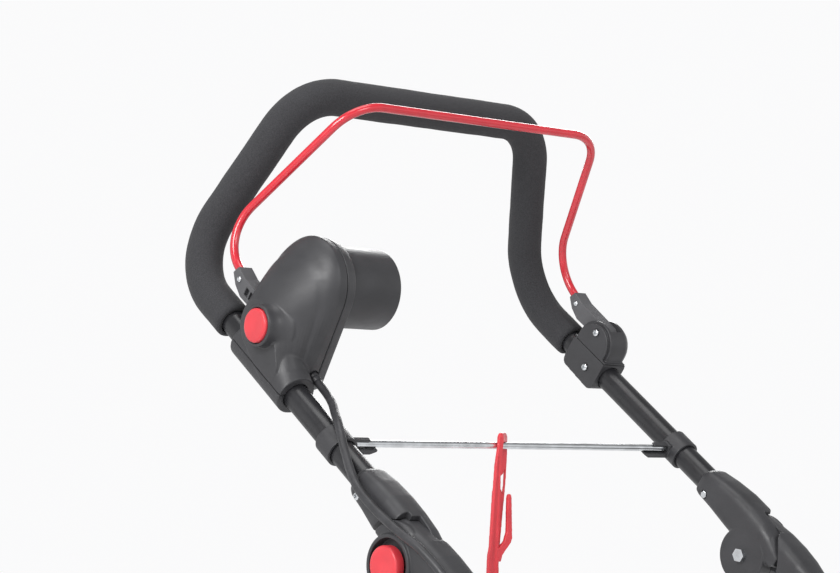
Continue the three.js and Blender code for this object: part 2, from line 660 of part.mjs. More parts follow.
function gearProfile(tipRadius, rootRadius, [x0, x1]) {
  const teeth = 12;
  const points = Array.from({ length: teeth * 4 }, (_, i) => {
    const radius = i % 4 < 2 ? tipRadius : rootRadius;
    const angle = 2 * Math.PI * (i + 0.5) / (teeth * 4);
    return [foldPivot.y + radius * Math.cos(angle), foldPivot.z + radius * Math.sin(angle)];
  });
  return sideProfile(points, [x0, x1]);
}

// The knuckle on the lower tube: a whole shell below the joint, and only its outer half at the pivot.
function lowerKnuckle() {
  const belowSeam = join(
    box([-260, seamStepX - gap], [-600, seamY.outer - 2 * gap], [-100, 100]),
    box([seamStepX - 2 * gap, knuckleSplitX - halfGap], [-600, seamY.inner - 2 * gap], [-100, 100]));
  const slot = cut(box([-260, -200], [foldPivot.y, -380], [-60, 2]),
    barX(outerReach - 3.5, [-262, -198], foldPivot, 32));
  const crown = cut(upperShell().intersect(outerHalfSpace)
    .intersect(barX(outerReach - gap, [-260, -200], foldPivot, 32)), slot);
  const outerHalf = join(lowerShell().intersect(belowSeam), crown,
    barX(knuckleDiscRadius, [knuckleFaceX, knuckleSplitX - halfGap], foldPivot, 20));
  const innerHalf = cut(lowerShell(),
    box([-400, knuckleSplitX - halfGap - 1], [-600, -300], [-100, 100]),
    holeX(innerReach + gap, [knuckleSplitX - halfGap, -200], foldPivot, 24),
    box([-260, -200], [foldPivot.y, -380], [-100, 100]));
  const legSocket = hole(tubeRadius + gap, legAt(lowerTubeTopY + gap), legAt(-530), 16);
  return cut(join(outerHalf, innerHalf), legSocket,
    holeX(lockRadius + 1, [knuckleSplitX - 6.5, knuckleSplitX + 1], foldPivot, 16),
    holeX(4.3, [knuckleFaceX, knuckleSplitX], foldPivot, 12),
    holeX(releaseRecess, [knuckleFaceX - 1, releaseFloorX], foldPivot, 20),
    ...lockPegPlaces.map((place) => holeX(2.3, [knuckleFaceX, knuckleSplitX], place, 8)),
    ...boltSeats(knuckleBolts.lower));
}

function lockGear() {
  const gear = gearProfile(lockRadius, lockRadius - 2.8, [knuckleSplitX - 3.5, knuckleSplitX + 3.5]);
  return cut(gear, holeX(4.6, [knuckleSplitX - 5, knuckleSplitX + 5], foldPivot, 12));
}

function releaseButton() {
  const [back, face] = [releaseFloorX - 5, knuckleFaceX - 5];
  const cap = join(
    barX(releaseRadius, [back, face + 2], foldPivot, 20),
    barX(releaseRadius, [face + 2, face], foldPivot, 20, releaseRadius - 3));
  const nutRoom = holeX(8.6, [back + 1, face + 2.2], foldPivot, 12);
  const pegs = lockPegPlaces.map((place) =>
    barX(2, [back - 1, knuckleSplitX - 3.5 - gap], place, 8));
  return join(cut(cap, nutRoom), ...pegs);
}

function foldBolt() {
  return join(
    barX(7, [knuckleInnerX + 4.5, knuckleInnerX + gap], foldPivot, 6),
    barX(4, [knuckleInnerX + gap, releaseFloorX - 6.4], foldPivot, 12));
}
const foldNut = () => cut(
  barX(7.4, [releaseFloorX - 6.6, releaseFloorX - gap], foldPivot, 6),
  holeX(4.15, [releaseFloorX - 8, releaseFloorX + 1], foldPivot, 12));

for (const [side, mirrored] of [['near', false], ['far', true]]) {
  add(`fold_shell_${side}`, upperKnuckle(), darkPlastic(), mirrored);
  add(`lower_knuckle_${side}`, lowerKnuckle(), darkPlastic(), mirrored);
  add(`lock_gear_${side}`, lockGear(), springSteel(), mirrored);
  add(`lock_spring_${side}`, spring(8, at(knuckleSplitX + 4.9, foldPivot.y, foldPivot.z), 5.6, 2),
    springSteel(), mirrored);
  add(`release_button_${side}`, releaseButton(), redPlastic(), mirrored);
  add(`fold_bolt_${side}`, foldBolt(), zinc(), mirrored);
  add(`fold_nut_${side}`, foldNut(), zinc(), mirrored);
  add(`upper_leg_bolt_${side}`, knuckleBolt(knuckleBolts.upper), zinc(), mirrored);
  add(`lower_leg_bolt_${side}`, knuckleBolt(knuckleBolts.lower), zinc(), mirrored);
  add(`lower_tube_${side}`, lowerTube(), blackPaint(), mirrored);
}

// ---------------------------------------------------------------- lower tubes with flattened feet
function lowerTube() {
  const ring = (y, halfX, halfZ) => Array.from({ length: 16 }, (_, i) => {
    const angle = 2 * Math.PI * i / 16;
    return at(-legX + halfX * Math.cos(angle), y, halfZ * Math.sin(angle));
  });
  const round = tubeRadius;
  const tube = loft([ring(lowerTubeTopY, round, round), ring(-588, round, round),
    ring(-618, footThickness / 2, footWidth / 2)]);
  const bore = bar(tubeRadius - tubeWall, legAt(-586), legAt(lowerTubeTopY + 1), 12);
  const foot = sideProfile([
    [-606, -footWidth / 2], [-606, footWidth / 2],
    ...arc({ y: footY, z: 0 }, footWidth / 2, 90, 270, 12)],
  [-legX - footThickness / 2, -legX + footThickness / 2]);
  return cut(join(tube, foot), bore,
    holeX(footBolt, [-legX - 10, -legX + 10], { y: footY, z: 0 }, 16),
    holeX(2.6, [-legX - 20, -legX + 20], knuckleBolts.lower, 8));
}

// ---------------------------------------------------------------- motor cable
const cableUpperRoute = [
  at(-206, -212.4, 13), at(-208.5, -231, 14), at(-216, -250, 17), at(-225, -268, 18.6),
  at(-233, -284, 20.2), at(-239, -299, 18.6), at(-243.5, -318, 13), at(-248.5, -338, 8.5),
  at(-252.5, -358, 5.5), at(-255.5, -385, 6.5), at(-256.5, -410, 9.5), at(-256.5, -429.8, 12.5),
];
const cableLowerRoute = [
  at(-256.5, -430.2, 12.5), at(-256, -455, 17), at(-254, -480, 17), at(-250.5, -510, 13),
  at(-247, -540, 8), at(-245.5, -570, 5), at(-245.5, -599.7, 3),
];
function cable(route) {
  const curve = new THREE.CatmullRomCurve3(route, false, 'centripetal');
  const shape = new THREE.Shape(circlePoints(cableRadius, 8));
  return solid(new THREE.ExtrudeGeometry(shape, {
    steps: Math.round(curve.getLength() / (cableRadius * 5)), extrudePath: curve,
  }));
}
add('motor_cable_upper', cable(cableUpperRoute), rubber());
add('motor_cable_lower', cable(cableLowerRoute), rubber());

// Tapered boot in which the cable leaves the switch case.
add('cable_boot', bar(5.2, gland.from, gland.to, 12, 4.4), rubber());

function motorConnector() {
  const body = box([-253, -238], [-600, -632], [-6, 10]);
  const neck = bar(5.5, at(-245.5, -600, 3), at(-245.5, -604, 2.6), 12);
  const socket = box([-251, -240], [-620, -634], [-4, 8]);
  return cut(join(body, neck), socket);
}
add('motor_connector', motorConnector(), darkPlastic());

handle.rotation.x = THREE.MathUtils.degToRad(handleSlope);
handle.position.set(0, 0, 0).sub(at(0, footY, 0).applyEuler(handle.rotation));

const snowThrowerHandlebar = new THREE.Group();
snowThrowerHandlebar.add(handle);

export default snowThrowerHandlebar;
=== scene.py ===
import json
import math

import bpy
from mathutils import Matrix, Vector, noise


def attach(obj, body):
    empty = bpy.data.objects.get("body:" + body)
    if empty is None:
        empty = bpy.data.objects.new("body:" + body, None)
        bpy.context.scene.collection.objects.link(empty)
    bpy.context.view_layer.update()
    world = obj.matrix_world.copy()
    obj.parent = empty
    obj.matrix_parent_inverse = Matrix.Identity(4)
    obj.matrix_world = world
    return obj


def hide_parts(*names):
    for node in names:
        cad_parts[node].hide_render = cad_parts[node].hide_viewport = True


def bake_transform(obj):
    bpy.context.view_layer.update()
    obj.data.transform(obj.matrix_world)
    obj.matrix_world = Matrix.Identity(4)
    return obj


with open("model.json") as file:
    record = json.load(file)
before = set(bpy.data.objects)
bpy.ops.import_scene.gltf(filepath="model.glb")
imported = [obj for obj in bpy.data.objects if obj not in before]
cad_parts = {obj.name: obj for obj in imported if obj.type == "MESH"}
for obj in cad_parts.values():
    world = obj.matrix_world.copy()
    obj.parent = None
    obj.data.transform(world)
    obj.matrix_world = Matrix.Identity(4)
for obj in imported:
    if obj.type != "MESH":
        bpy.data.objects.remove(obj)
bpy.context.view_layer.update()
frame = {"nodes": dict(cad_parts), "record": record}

# Shapes are drawn in millimetres in the plane of the handle's legs: x across the machine with the
# switch side at -x, y along the legs with 0 at their upper bends, z out of the legs' plane. TO_ROW
# leans that plane back and turns it into the row frame, in metres.
SLOPE = math.radians(37.9)
FOOT_Y = -660
TO_ROW = (Matrix.Scale(0.001, 4) @ Matrix.Rotation(SLOPE, 4, "X")
          @ Matrix.Translation((0, -FOOT_Y, 0)))
MIRROR = Matrix.Scale(-1, 4, (1, 0, 0))
SIDES = (("near", False), ("far", True))
GAP = 0.3
HALF_GAP = GAP / 2

# The driving sizes. A place of two numbers is a (y, z) on an axis that runs along x.
LEG_X = 228.2
TUBE_R = 12.5
UPPER_LEG_END = -382
GRIP_CORNER = Vector((156.2, 30.2, 186.1))
GRIP_BENDS = (70, 62)
FOAM_R = 18.2
FOAM_END = -98
BAIL_R = 4.25
BAIL_SHOULDER = Vector((226.5, -28.7, 52.6))
BAIL_CORNER = Vector((162.9, -53.4, 223))
BAIL_BENDS = (44, 47)
BAIL_END = (-97, 38.3)
RIVET = (-86, 40.6)
BAIL_PIVOT = (-136, 37)
LEVER_X = (-234.5, -218.5)
HOUSING_X = (211, 245)
HOUSING_SPLIT_Z = 16.4
HOUSING_LOWER_SCREW = (-144.4, -1.3)
COLLAR_AXIS = (-149, 78.4)
COLLAR_R = 38
COLLAR_WALL = 3
COLLAR_MOUTH = -128
CASE_FACE = -188
CASE_SPLIT = -200
CASE_WIDEST = -209
CASE_CROWN = -248
CASE_WALL = 3.0
CASE_OUTLINE = ((-149, 78.4, 46.5), (-137, 4, 19), (-185, 5, 19))
CASE_CROWN_CIRCLES = ((-147, 31, 23), (-147, 31, 23), (-186, 9, 14))
CASE_SCREWS = ((-117, 40), (-190.5, 34), (-134, -6), (-190, -6))
SADDLE_R = 19.5
SADDLE_ENDS = (-126, -216)
BUTTON_AXIS = (-160, 38)
BUTTON_R = 16
ROD_Y = -287.5
ROD_R = 3.3
ROD_END = 210
FOLD_PIVOT = (-430, -24)
KNUCKLE_FACE = -252
KNUCKLE_SPLIT = -228.2
KNUCKLE_BACK = -211.5
UPPER_BOLT = (-355, -7)
LOWER_BOLT = (-494, -5)
LOWER_TUBE_TOP = -480
FOOT_HOLE_R = 4.25


# ---------------------------------------------------------------- camera
def make_camera():
    """A long lens, low and off to the switch side, looking a little up at the handle."""
    camera = bpy.data.objects.new("camera", bpy.data.cameras.new("camera"))
    bpy.context.scene.collection.objects.link(camera)
    camera.data.lens = 102.0
    camera.data.sensor_width = 36
    camera.data.clip_start = 0.05
    camera.data.clip_end = 60
    yaw = math.radians(41.935)
    pitch = math.radians(4.731)
    looks = Vector((math.sin(yaw) * math.cos(pitch), math.cos(yaw) * math.cos(pitch), math.sin(pitch)))
    camera.location = (-1.60178, -1.34898, 0.19281)
    camera.rotation_mode = "QUATERNION"
    camera.rotation_quaternion = looks.to_track_quat("-Z", "Y")
    bpy.context.scene.camera = camera


make_camera()


# ---------------------------------------------------------------- materials
class Surface:
    """A procedural material. Its patterns are laid out in the row frame, so their sizes are real."""

    def __init__(self, name, colour, roughness, metallic=0.0, **sockets):
        self.material = bpy.data.materials.new(name)
        self.material.use_nodes = True
        self.nodes = self.material.node_tree.nodes
        self.links = self.material.node_tree.links
        self.shader = self.nodes["Principled BSDF"]
        self.colour = colour
        self.shader.inputs["Base Color"].default_value = (*colour, 1)
        self.shader.inputs["Roughness"].default_value = roughness
        self.shader.inputs["Metallic"].default_value = metallic
        for label, value in sockets.items():
            self.shader.inputs[label.replace("_", " ")].default_value = value
        self.roughness = roughness
        self.place = self.nodes.new("ShaderNodeTexCoord").outputs["Object"]
        self.height = None

    def noise(self, scale, detail=3, stretch=None):
        texture = self.nodes.new("ShaderNodeTexNoise")
        texture.inputs["Scale"].default_value = scale
        texture.inputs["Detail"].default_value = detail
        source = self.place
        if stretch:
            mapping = self.nodes.new("ShaderNodeMapping")
            mapping.inputs["Scale"].default_value = stretch
            self.links.new(source, mapping.inputs["Vector"])
            source = mapping.outputs["Vector"]
        self.links.new(source, texture.inputs["Vector"])
        return texture.outputs["Fac"]

    def cells(self, scale):
        texture = self.nodes.new("ShaderNodeTexVoronoi")
        texture.inputs["Scale"].default_value = scale
        self.links.new(self.place, texture.inputs["Vector"])
        return texture.outputs["Distance"]

    def ramp(self, value, low, high, start, end):
        """Maps value's stretch low..high to start..end."""
        node = self.nodes.new("ShaderNodeMapRange")
        for label, number in (("From Min", low), ("From Max", high), ("To Min", start), ("To Max", end)):
            node.inputs[label].default_value = number
        self.links.new(value, node.inputs["Value"])
        return node.outputs["Result"]

    def vary_colour(self, value, low, high, dark, light):
        """Multiplies the base colour by dark..light as value goes from low to high."""
        mix = self.nodes.new("ShaderNodeMix")
        mix.data_type = "RGBA"
        colours = [socket for socket in mix.inputs if socket.type == "RGBA"]
        for socket, factor in zip(colours, (dark, light)):
            socket.default_value = (*[min(1, channel * factor) for channel in self.colour], 1)
        self.links.new(self.ramp(value, low, high, 0, 1), mix.inputs["Factor"])
        output = [socket for socket in mix.outputs if socket.type == "RGBA"][0]
        self.links.new(output, self.shader.inputs["Base Color"])
        return self

    def vary_roughness(self, value, low, high, spread):
        self.links.new(
            self.ramp(value, low, high, self.roughness - spread, self.roughness + spread),
            self.shader.inputs["Roughness"])
        return self

    def bump(self, value, strength, distance):
        node = self.nodes.new("ShaderNodeBump")
        node.inputs["Strength"].default_value = strength
        node.inputs["Distance"].default_value = distance
        self.links.new(value, node.inputs["Height"])
        if self.height:
            self.links.new(self.height, node.inputs["Normal"])
        self.height = node.outputs["Normal"]
        self.links.new(self.height, self.shader.inputs["Normal"])
        return self


def make_materials():
    made = {}

    foam = Surface("grip_foam", (0.036, 0.036, 0.039), 0.88, Specular_IOR_Level=0.2,
                   Sheen_Weight=0.06, Sheen_Roughness=0.6)
    foam.vary_colour(foam.noise(900, 4), 0.3, 0.7, 0.72, 1.3)
    foam.bump(foam.noise(60, 3), 0.25, 0.0006)
    foam.bump(foam.cells(1300), 0.5, 0.00035)
    foam.bump(foam.noise(2600, 2), 0.35, 0.0003)
    made["grip_foam"] = foam

    paint = Surface("black_paint", (0.014, 0.014, 0.016), 0.3, Specular_IOR_Level=0.5)
    paint.vary_colour(paint.noise(35, 4), 0.35, 0.65, 0.85, 1.2)
    paint.vary_roughness(paint.noise(60, 3), 0.3, 0.7, 0.04)
    paint.bump(paint.noise(500, 2), 0.04, 0.00008)
    made["black_paint"] = paint

    for name, colour, rough in (("dark_plastic", (0.036, 0.036, 0.039), 0.43),
                                ("grey_plastic", (0.085, 0.085, 0.09), 0.46)):
        plastic = Surface(name, colour, rough, Specular_IOR_Level=0.42)
        plastic.vary_colour(plastic.noise(28, 5), 0.35, 0.65, 0.9, 1.12)
        plastic.vary_roughness(plastic.noise(45, 6, (1, 1, 2.5)), 0.3, 0.7, 0.07)
        plastic.bump(plastic.noise(120, 2), 0.05, 0.0004)
        plastic.bump(plastic.cells(1700), 0.22, 0.00014)
        made[name] = plastic

    red = Surface("red_paint", (0.56, 0.018, 0.032), 0.2, Coat_Weight=0.5, Coat_Roughness=0.08)
    red.vary_colour(red.noise(40, 3), 0.35, 0.65, 0.92, 1.06)
    red.vary_roughness(red.noise(150, 4), 0.3, 0.7, 0.05)
    red.bump(red.noise(420, 2), 0.1, 0.00015)
    made["red_paint"] = red

    red = Surface("red_plastic", (0.62, 0.042, 0.055), 0.34, Subsurface_Weight=0.08,
                  Subsurface_Scale=0.002)
    red.vary_colour(red.noise(45, 4), 0.35, 0.65, 0.93, 1.08)
    red.vary_roughness(red.noise(70, 5), 0.3, 0.7, 0.06)
    red.bump(red.noise(1500, 2), 0.14, 0.0001)
    made["red_plastic"] = red

    for name, colour, rough in (("zinc", (0.66, 0.68, 0.7), 0.24),
                                ("spring_steel", (0.4, 0.41, 0.43), 0.3)):
        steel = Surface(name, colour, rough, metallic=1.0)
        steel.vary_colour(steel.noise(90, 5), 0.35, 0.65, 0.86, 1.1)
        steel.vary_roughness(steel.noise(60, 4, (0.15, 3, 3)), 0.3, 0.7, 0.04)
        steel.bump(steel.noise(600, 2, (0.05, 1, 1)), 0.03, 0.00003)
        made[name] = steel

    brass = Surface("brass", (0.72, 0.5, 0.2), 0.27, metallic=1.0)
    brass.vary_colour(brass.noise(200, 4), 0.35, 0.65, 0.82, 1.1)
    brass.vary_roughness(brass.noise(300, 5, (0.2, 3, 3)), 0.3, 0.7, 0.08)
    made["brass"] = brass

    rubber = Surface("cable_rubber", (0.032, 0.032, 0.035), 0.44, Specular_IOR_Level=0.45)
    rubber.vary_colour(rubber.noise(60, 5), 0.35, 0.65, 0.82, 1.2)
    rubber.vary_roughness(rubber.noise(180, 5), 0.3, 0.7, 0.09)
    rubber.bump(rubber.noise(240, 4), 0.2, 0.0003)
    made["cable_rubber"] = rubber
    return {name: surface.material for name, surface in made.items()}


MATERIALS = make_materials()


# ---------------------------------------------------------------- mesh helpers
def mesh_object(name, vertices, faces):
    mesh = bpy.data.meshes.new(name)
    mesh.from_pydata([tuple(v) for v in vertices], [], faces)
    mesh.update()
    obj = bpy.data.objects.new(name, mesh)
    bpy.context.scene.collection.objects.link(obj)
    return obj


def bake(obj):
    """Replaces the object's mesh with what its modifiers make of it."""
    bpy.context.view_layer.update()
    graph = bpy.context.evaluated_depsgraph_get()
    baked = bpy.data.meshes.new_from_object(obj.evaluated_get(graph), depsgraph=graph)
    obj.modifiers.clear()
    old = obj.data
    obj.data = baked
    bpy.data.meshes.remove(old)
    return obj


def boolean(base, tools, operation, keep=()):
    for tool in tools:
        modifier = base.modifiers.new(operation, "BOOLEAN")
        modifier.operation = operation
        modifier.solver = "MANIFOLD"
        modifier.object = tool
        bake(base)
        if tool not in keep:
            bpy.data.objects.remove(tool)
    return base


def cut(base, *tools, keep=()):
    return boolean(base, tools, "DIFFERENCE", keep)


def join(base, *tools):
    return boolean(base, tools, "UNION")


def common(base, *tools):
    return boolean(base, tools, "INTERSECT")


def copy_of(obj):
    twin = obj.copy()
    twin.data = obj.data.copy()
    bpy.context.scene.collection.objects.link(twin)
    return twin


def soften(obj, voxel, passes=4):
    """Turns crisp joined solids into one moulded skin with small round edges."""
    remesh = obj.modifiers.new("skin", "REMESH")
    remesh.mode = "VOXEL"
    remesh.voxel_size = voxel
    smooth = obj.modifiers.new("smooth", "SMOOTH")
    smooth.iterations = passes
    smooth.factor = 0.5
    return bake(obj)


def signed_volume(vertices, faces):
    total = 0.0
    for face in faces:
        a = Vector(vertices[face[0]])
        for i in range(1, len(face) - 1):
            total += a.dot(Vector(vertices[face[i]]).cross(Vector(vertices[face[i + 1]])))
    return total


def loft(name, rings):
    """A closed skin through rings of the same number of points. A ring of one point closes to a tip."""
    vertices = []
    starts = []
    for ring in rings:
        starts.append(len(vertices))
        vertices.extend(ring)
    faces = []
    for a, b, ring_a, ring_b in zip(starts, starts[1:], rings, rings[1:]):
        count = max(len(ring_a), len(ring_b))
        for i in range(count):
            j = (i + 1) % count
            if len(ring_a) == 1:
                faces.append((a, b + j, b + i))
            elif len(ring_b) == 1:
                faces.append((a + i, a + j, b))
            else:
                faces.append((a + i, a + j, b + j, b + i))
    if len(rings[0]) > 1:
        faces.append(tuple(reversed(range(len(rings[0])))))
    if len(rings[-1]) > 1:
        faces.append(tuple(range(starts[-1], starts[-1] + len(rings[-1]))))
    if signed_volume(vertices, faces) < 0:
        faces = [tuple(reversed(face)) for face in faces]
    return mesh_object(name, vertices, faces)


def hollow(name, rings):
    """A closed skin round a hollow: the last ring meets the first one again."""
    count = len(rings[0])
    vertices = [point for ring in rings for point in ring]
    faces = []
    for r in range(len(rings)):
        a = r * count
        b = ((r + 1) % len(rings)) * count
        for i in range(count):
            j = (i + 1) % count
            faces.append((a + i, a + j, b + j, b + i))
    if signed_volume(vertices, faces) < 0:
        faces = [tuple(reversed(face)) for face in faces]
    return mesh_object(name, vertices, faces)


def circle_x(x, radius, place, sides):
    y, z = place
    if radius == 0:
        return [Vector((x, y, z))]
    return [Vector((x, y + radius * math.cos(2 * math.pi * i / sides),
                    z + radius * math.sin(2 * math.pi * i / sides))) for i in range(sides)]


def lathe(name, profile, place, sides=72, closed=False):
    """Turns (x, radius) points about an axis along x through place."""
    rings = [circle_x(x, radius, place, sides) for x, radius in profile]
    return hollow(name, rings) if closed else loft(name, rings)


def bar_x(x0, x1, radius, place, sides=48):
    return lathe("tool", [(x0, radius), (x1, radius)], place, sides)


def box(x, y, z):
    corners = [Vector((x[i], y[j], z[k])) for k in (0, 1) for j in (0, 1) for i in (0, 1)]
    order = (0, 1, 3, 2)
    return loft("tool", [[corners[i] for i in order], [corners[4 + i] for i in order]])


def fillet(points, radius, steps=5, closed=False):
    """Rounds the corners of a polyline with short curves that start up to radius from each corner."""
    points = [Vector(p) for p in points]
    count = len(points)
    rounded = []
    for i, corner in enumerate(points):
        if not closed and i in (0, count - 1):
            rounded.append(corner)
            continue
        before = points[i - 1] - corner
        after = points[(i + 1) % count] - corner
        start = corner + before.normalized() * min(radius, before.length * 0.49)
        end = corner + after.normalized() * min(radius, after.length * 0.49)
        for k in range(steps + 1):
            t = k / steps
            rounded.append(start * (1 - t) ** 2 + corner * 2 * t * (1 - t) + end * t * t)
    return rounded


def arc(centre, radius, start, end, steps):
    """Points [y, z] along an arc, its angles in degrees."""
    return [(centre[0] + radius * math.cos(math.radians(start + (end - start) * i / steps)),
             centre[1] + radius * math.sin(math.radians(start + (end - start) * i / steps)))
            for i in range(steps + 1)]


def side_profile(name, outline, x0, x1):
    """An outline of [y, z] points pulled out across x."""
    return loft(name, [[Vector((x, p[0], p[1])) for p in outline] for x in (x0, x1)])


def pipe_path(corners, radii, step):
    """Points and directions along straight runs joined by round bends, about one step apart."""
    corners = [Vector(c) for c in corners]
    points = []
    directions = []

    def run(start, end, direction):
        count = max(1, round((end - start).length / step))
        for i in range(count):
            points.append(start.lerp(end, i / count))
            directions.append(direction)

    here = corners[0]
    for i in range(1, len(corners) - 1):
        incoming = (corners[i] - corners[i - 1]).normalized()
        outgoing = (corners[i + 1] - corners[i]).normalized()
        turn = incoming.angle(outgoing)
        radius = radii[i - 1]
        inwards = (outgoing - incoming * math.cos(turn)).normalized()
        start = corners[i] - incoming * radius * math.tan(turn / 2)
        run(here, start, incoming)
        centre = start + inwards * radius
        count = max(8, round(radius * turn / step))
        for k in range(count):
            angle = turn * k / count
            points.append(centre - inwards * radius * math.cos(angle)
                          + incoming * radius * math.sin(angle))
            directions.append(incoming * math.cos(angle) + inwards * math.sin(angle))
        here = centre - inwards * radius * math.cos(turn) + incoming * radius * math.sin(turn)
    last = (corners[-1] - corners[-2]).normalized()
    run(here, corners[-1], last)
    points.append(corners[-1])
    directions.append(last)
    return points, directions


def tube_rings(points, directions, radii, sides):
    """Rings square to a path, turned as little as possible from one to the next."""
    side = directions[0].orthogonal().normalized()
    rings = []
    before = directions[0]
    for point, direction, radius in zip(points, directions, radii):
        side = before.rotation_difference(direction) @ side
        before = direction
        other = direction.cross(side).normalized()
        rings.append([point + side * radius * math.cos(2 * math.pi * i / sides)
                      + other * radius * math.sin(2 * math.pi * i / sides) for i in range(sides)])
    return rings


def sweep(name, points, directions, radii, sides):
    if not isinstance(radii, list):
        radii = [radii] * len(points)
    return loft(name, tube_rings(points, directions, radii, sides))


def rod(start, end, radius, sides=48):
    start, end = Vector(start), Vector(end)
    return sweep("tool", [start, end], [(end - start).normalized()] * 2, radius, sides)


def leg_bar(radius, y0, y1, sides=64):
    return rod((-LEG_X, y0, 0), (-LEG_X, y1, 0), radius, sides)


def settle(obj, name, body, slot, nodes, matrix=TO_ROW, mirrored=False, sharp=None):
    """Puts a finished shape into the row frame, gives it its material and hangs it on its body."""
    if mirrored:
        matrix = matrix @ MIRROR
    obj.data.transform(matrix)
    if mirrored:
        obj.data.flip_normals()
    obj.name = name
    obj.data.name = name
    obj.data.shade_smooth()
    if sharp:
        obj.data.set_sharp_from_angle(angle=math.radians(sharp))
    obj.data.materials.clear()
    obj.data.materials.append(MATERIALS[slot])
    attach(obj, body)
    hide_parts(*nodes)
    return obj


def moulded_copy(node, name, body, slot, voxel, passes=4):
    """A CAD solid's own shape with the small round edges of a moulding."""
    obj = copy_of(frame["nodes"][node])
    obj.parent = None
    for key in list(obj.keys()):
        del obj[key]
    obj.hide_render = False
    obj.hide_viewport = False
    obj.data.transform(Matrix.Scale(1000, 4))
    soften(obj, voxel, passes)
    return settle(obj, name, body, slot, [node], Matrix.Scale(0.001, 4))


# ---------------------------------------------------------------- motor cable
# The cable is held all the way: it leaves the switch case, lies on the leg, crosses the fold joint
# and ends in the connector.
CABLE_R = 4.0
CABLE_EXIT = (-205, -190, 13)
CABLE_ROUTE = [
    (-206, -212.4, 13), (-208.5, -231, 14), (-216, -250, 17), (-225, -268, 18.6),
    (-233, -284, 20.2), (-239, -299, 18.6), (-243.5, -318, 13), (-248.5, -338, 8.5),
    (-252.5, -358, 5.5), (-255.5, -385, 6.5), (-256.5, -410, 9.5), (-256.5, -430, 12.5),
    (-256, -455, 17), (-254, -480, 17), (-250.5, -510, 13), (-247, -540, 8),
    (-245.5, -570, 5), (-245.5, -599.7, 3),
]


def smooth_route(route, steps):
    """A centripetal Catmull-Rom curve through the route's points."""
    route = [Vector(p) for p in route]
    route = [route[0] * 2 - route[1]] + route + [route[-1] * 2 - route[-2]]
    points = []
    for a, b, c, d in zip(route, route[1:], route[2:], route[3:]):
        t1 = math.sqrt((b - a).length)
        t2 = t1 + math.sqrt((c - b).length)
        t3 = t2 + math.sqrt((d - c).length)
        for k in range(steps):
            t = t1 + (t2 - t1) * k / steps
            ab = a.lerp(b, t / t1)
            bc = b.lerp(c, (t - t1) / (t2 - t1))
            cd = c.lerp(d, (t - t2) / (t3 - t2))
            abc = ab.lerp(bc, t / t2)
            bcd = bc.lerp(cd, (t - t1) / (t3 - t1))
            points.append(abc.lerp(bcd, (t - t1) / (t2 - t1)))
    points.append(route[-2])
    directions = [(points[min(i + 1, len(points) - 1)] - points[max(i - 1, 0)]).normalized()
                  for i in range(len(points))]
    return points, directions


def make_cable():
    """One cable over the fold joint."""
    points, directions = smooth_route(CABLE_ROUTE, 14)
    obj = sweep("motor_cable", points, directions, CABLE_R, 32)
    obj.data.transform(TO_ROW)
    obj.data.shade_smooth()
    obj.data.materials.append(MATERIALS["cable_rubber"])
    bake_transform(obj)
    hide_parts("motor_cable_upper", "motor_cable_lower")


make_cable()


def make_boot():
    """The boot where the cable leaves the case, its rings given as (distance along it, radius)."""
    start, end = Vector(CABLE_EXIT), Vector((-206, -212, 13))
    along = (end - start).normalized()
    ribs = ((0, 4.6), (0.6, 5.2), (8, 5.2), (9, 5.2), (10.4, 5.1), (11.2, 4.6), (12.6, 4.6), (13.4, 5.05),
            (14.8, 5.05), (15.6, 4.5), (17, 4.5), (17.8, 4.95), (19.2, 4.9), (20, 4.6), (21.4, 4.5),
            (22, 4.2))
    points = [start + along * station for station, _ in ribs]
    radii = [radius for _, radius in ribs]
    obj = sweep("boot", points, [along] * len(points), radii, 40)
    settle(obj, "cable_strain_boot", "upper_handle", "cable_rubber", ["cable_boot"], sharp=40)


make_boot()


# ---------------------------------------------------------------- tube and foam grip
def handle_path(end_y, step):
    """The bent tube's centre line, from one leg's end round the grip to the other's."""
    corner = GRIP_CORNER
    corners = [(-LEG_X, end_y, 0), (-LEG_X, 0, 0), (-corner.x, corner.y, corner.z), tuple(corner),
               (LEG_X, 0, 0), (LEG_X, end_y, 0)]
    return pipe_path(corners, [*GRIP_BENDS, *reversed(GRIP_BENDS)], step)


def make_handle_tube():
    points, directions = handle_path(UPPER_LEG_END, 6)
    obj = sweep("tube", points, directions, TUBE_R, 56)
    settle(obj, "handle_tube", "upper_handle", "black_paint", ["upper_tube"], sharp=60)


def make_foam_grip():
    """A foam sleeve with a slightly lumpy skin and soft cut ends, hollow round the tube."""
    points, directions = handle_path(FOAM_END, 2.5)
    count = len(points)
    along = [0.0]
    for a, b in zip(points, points[1:]):
        along.append(along[-1] + (b - a).length)
    edge_length, edge_depth = 4.0, 2.2

    def drawn_in(s):
        """How far the skin stands in at a soft, cut end."""
        to_end = min(s, along[-1] - s)
        return 0 if to_end >= edge_length else edge_depth * (1 - to_end / edge_length) ** 2.4

    outer = tube_rings(points, directions, [FOAM_R - drawn_in(s) for s in along], 72)
    for ring, centre in zip(outer, points):
        for i, vertex in enumerate(ring):
            lump = noise.noise(vertex / 26) * 0.35 + noise.noise(vertex / 8) * 0.1
            ring[i] = vertex + (vertex - centre).normalized() * lump
    bore = tube_rings(points, directions, [TUBE_R + 0.8] * count, 72)
    obj = hollow("foam", outer + bore[::-1])
    piece = settle(obj, "foam_sleeve", "upper_handle", "grip_foam", ["foam_grip"])


make_handle_tube()
make_foam_grip()


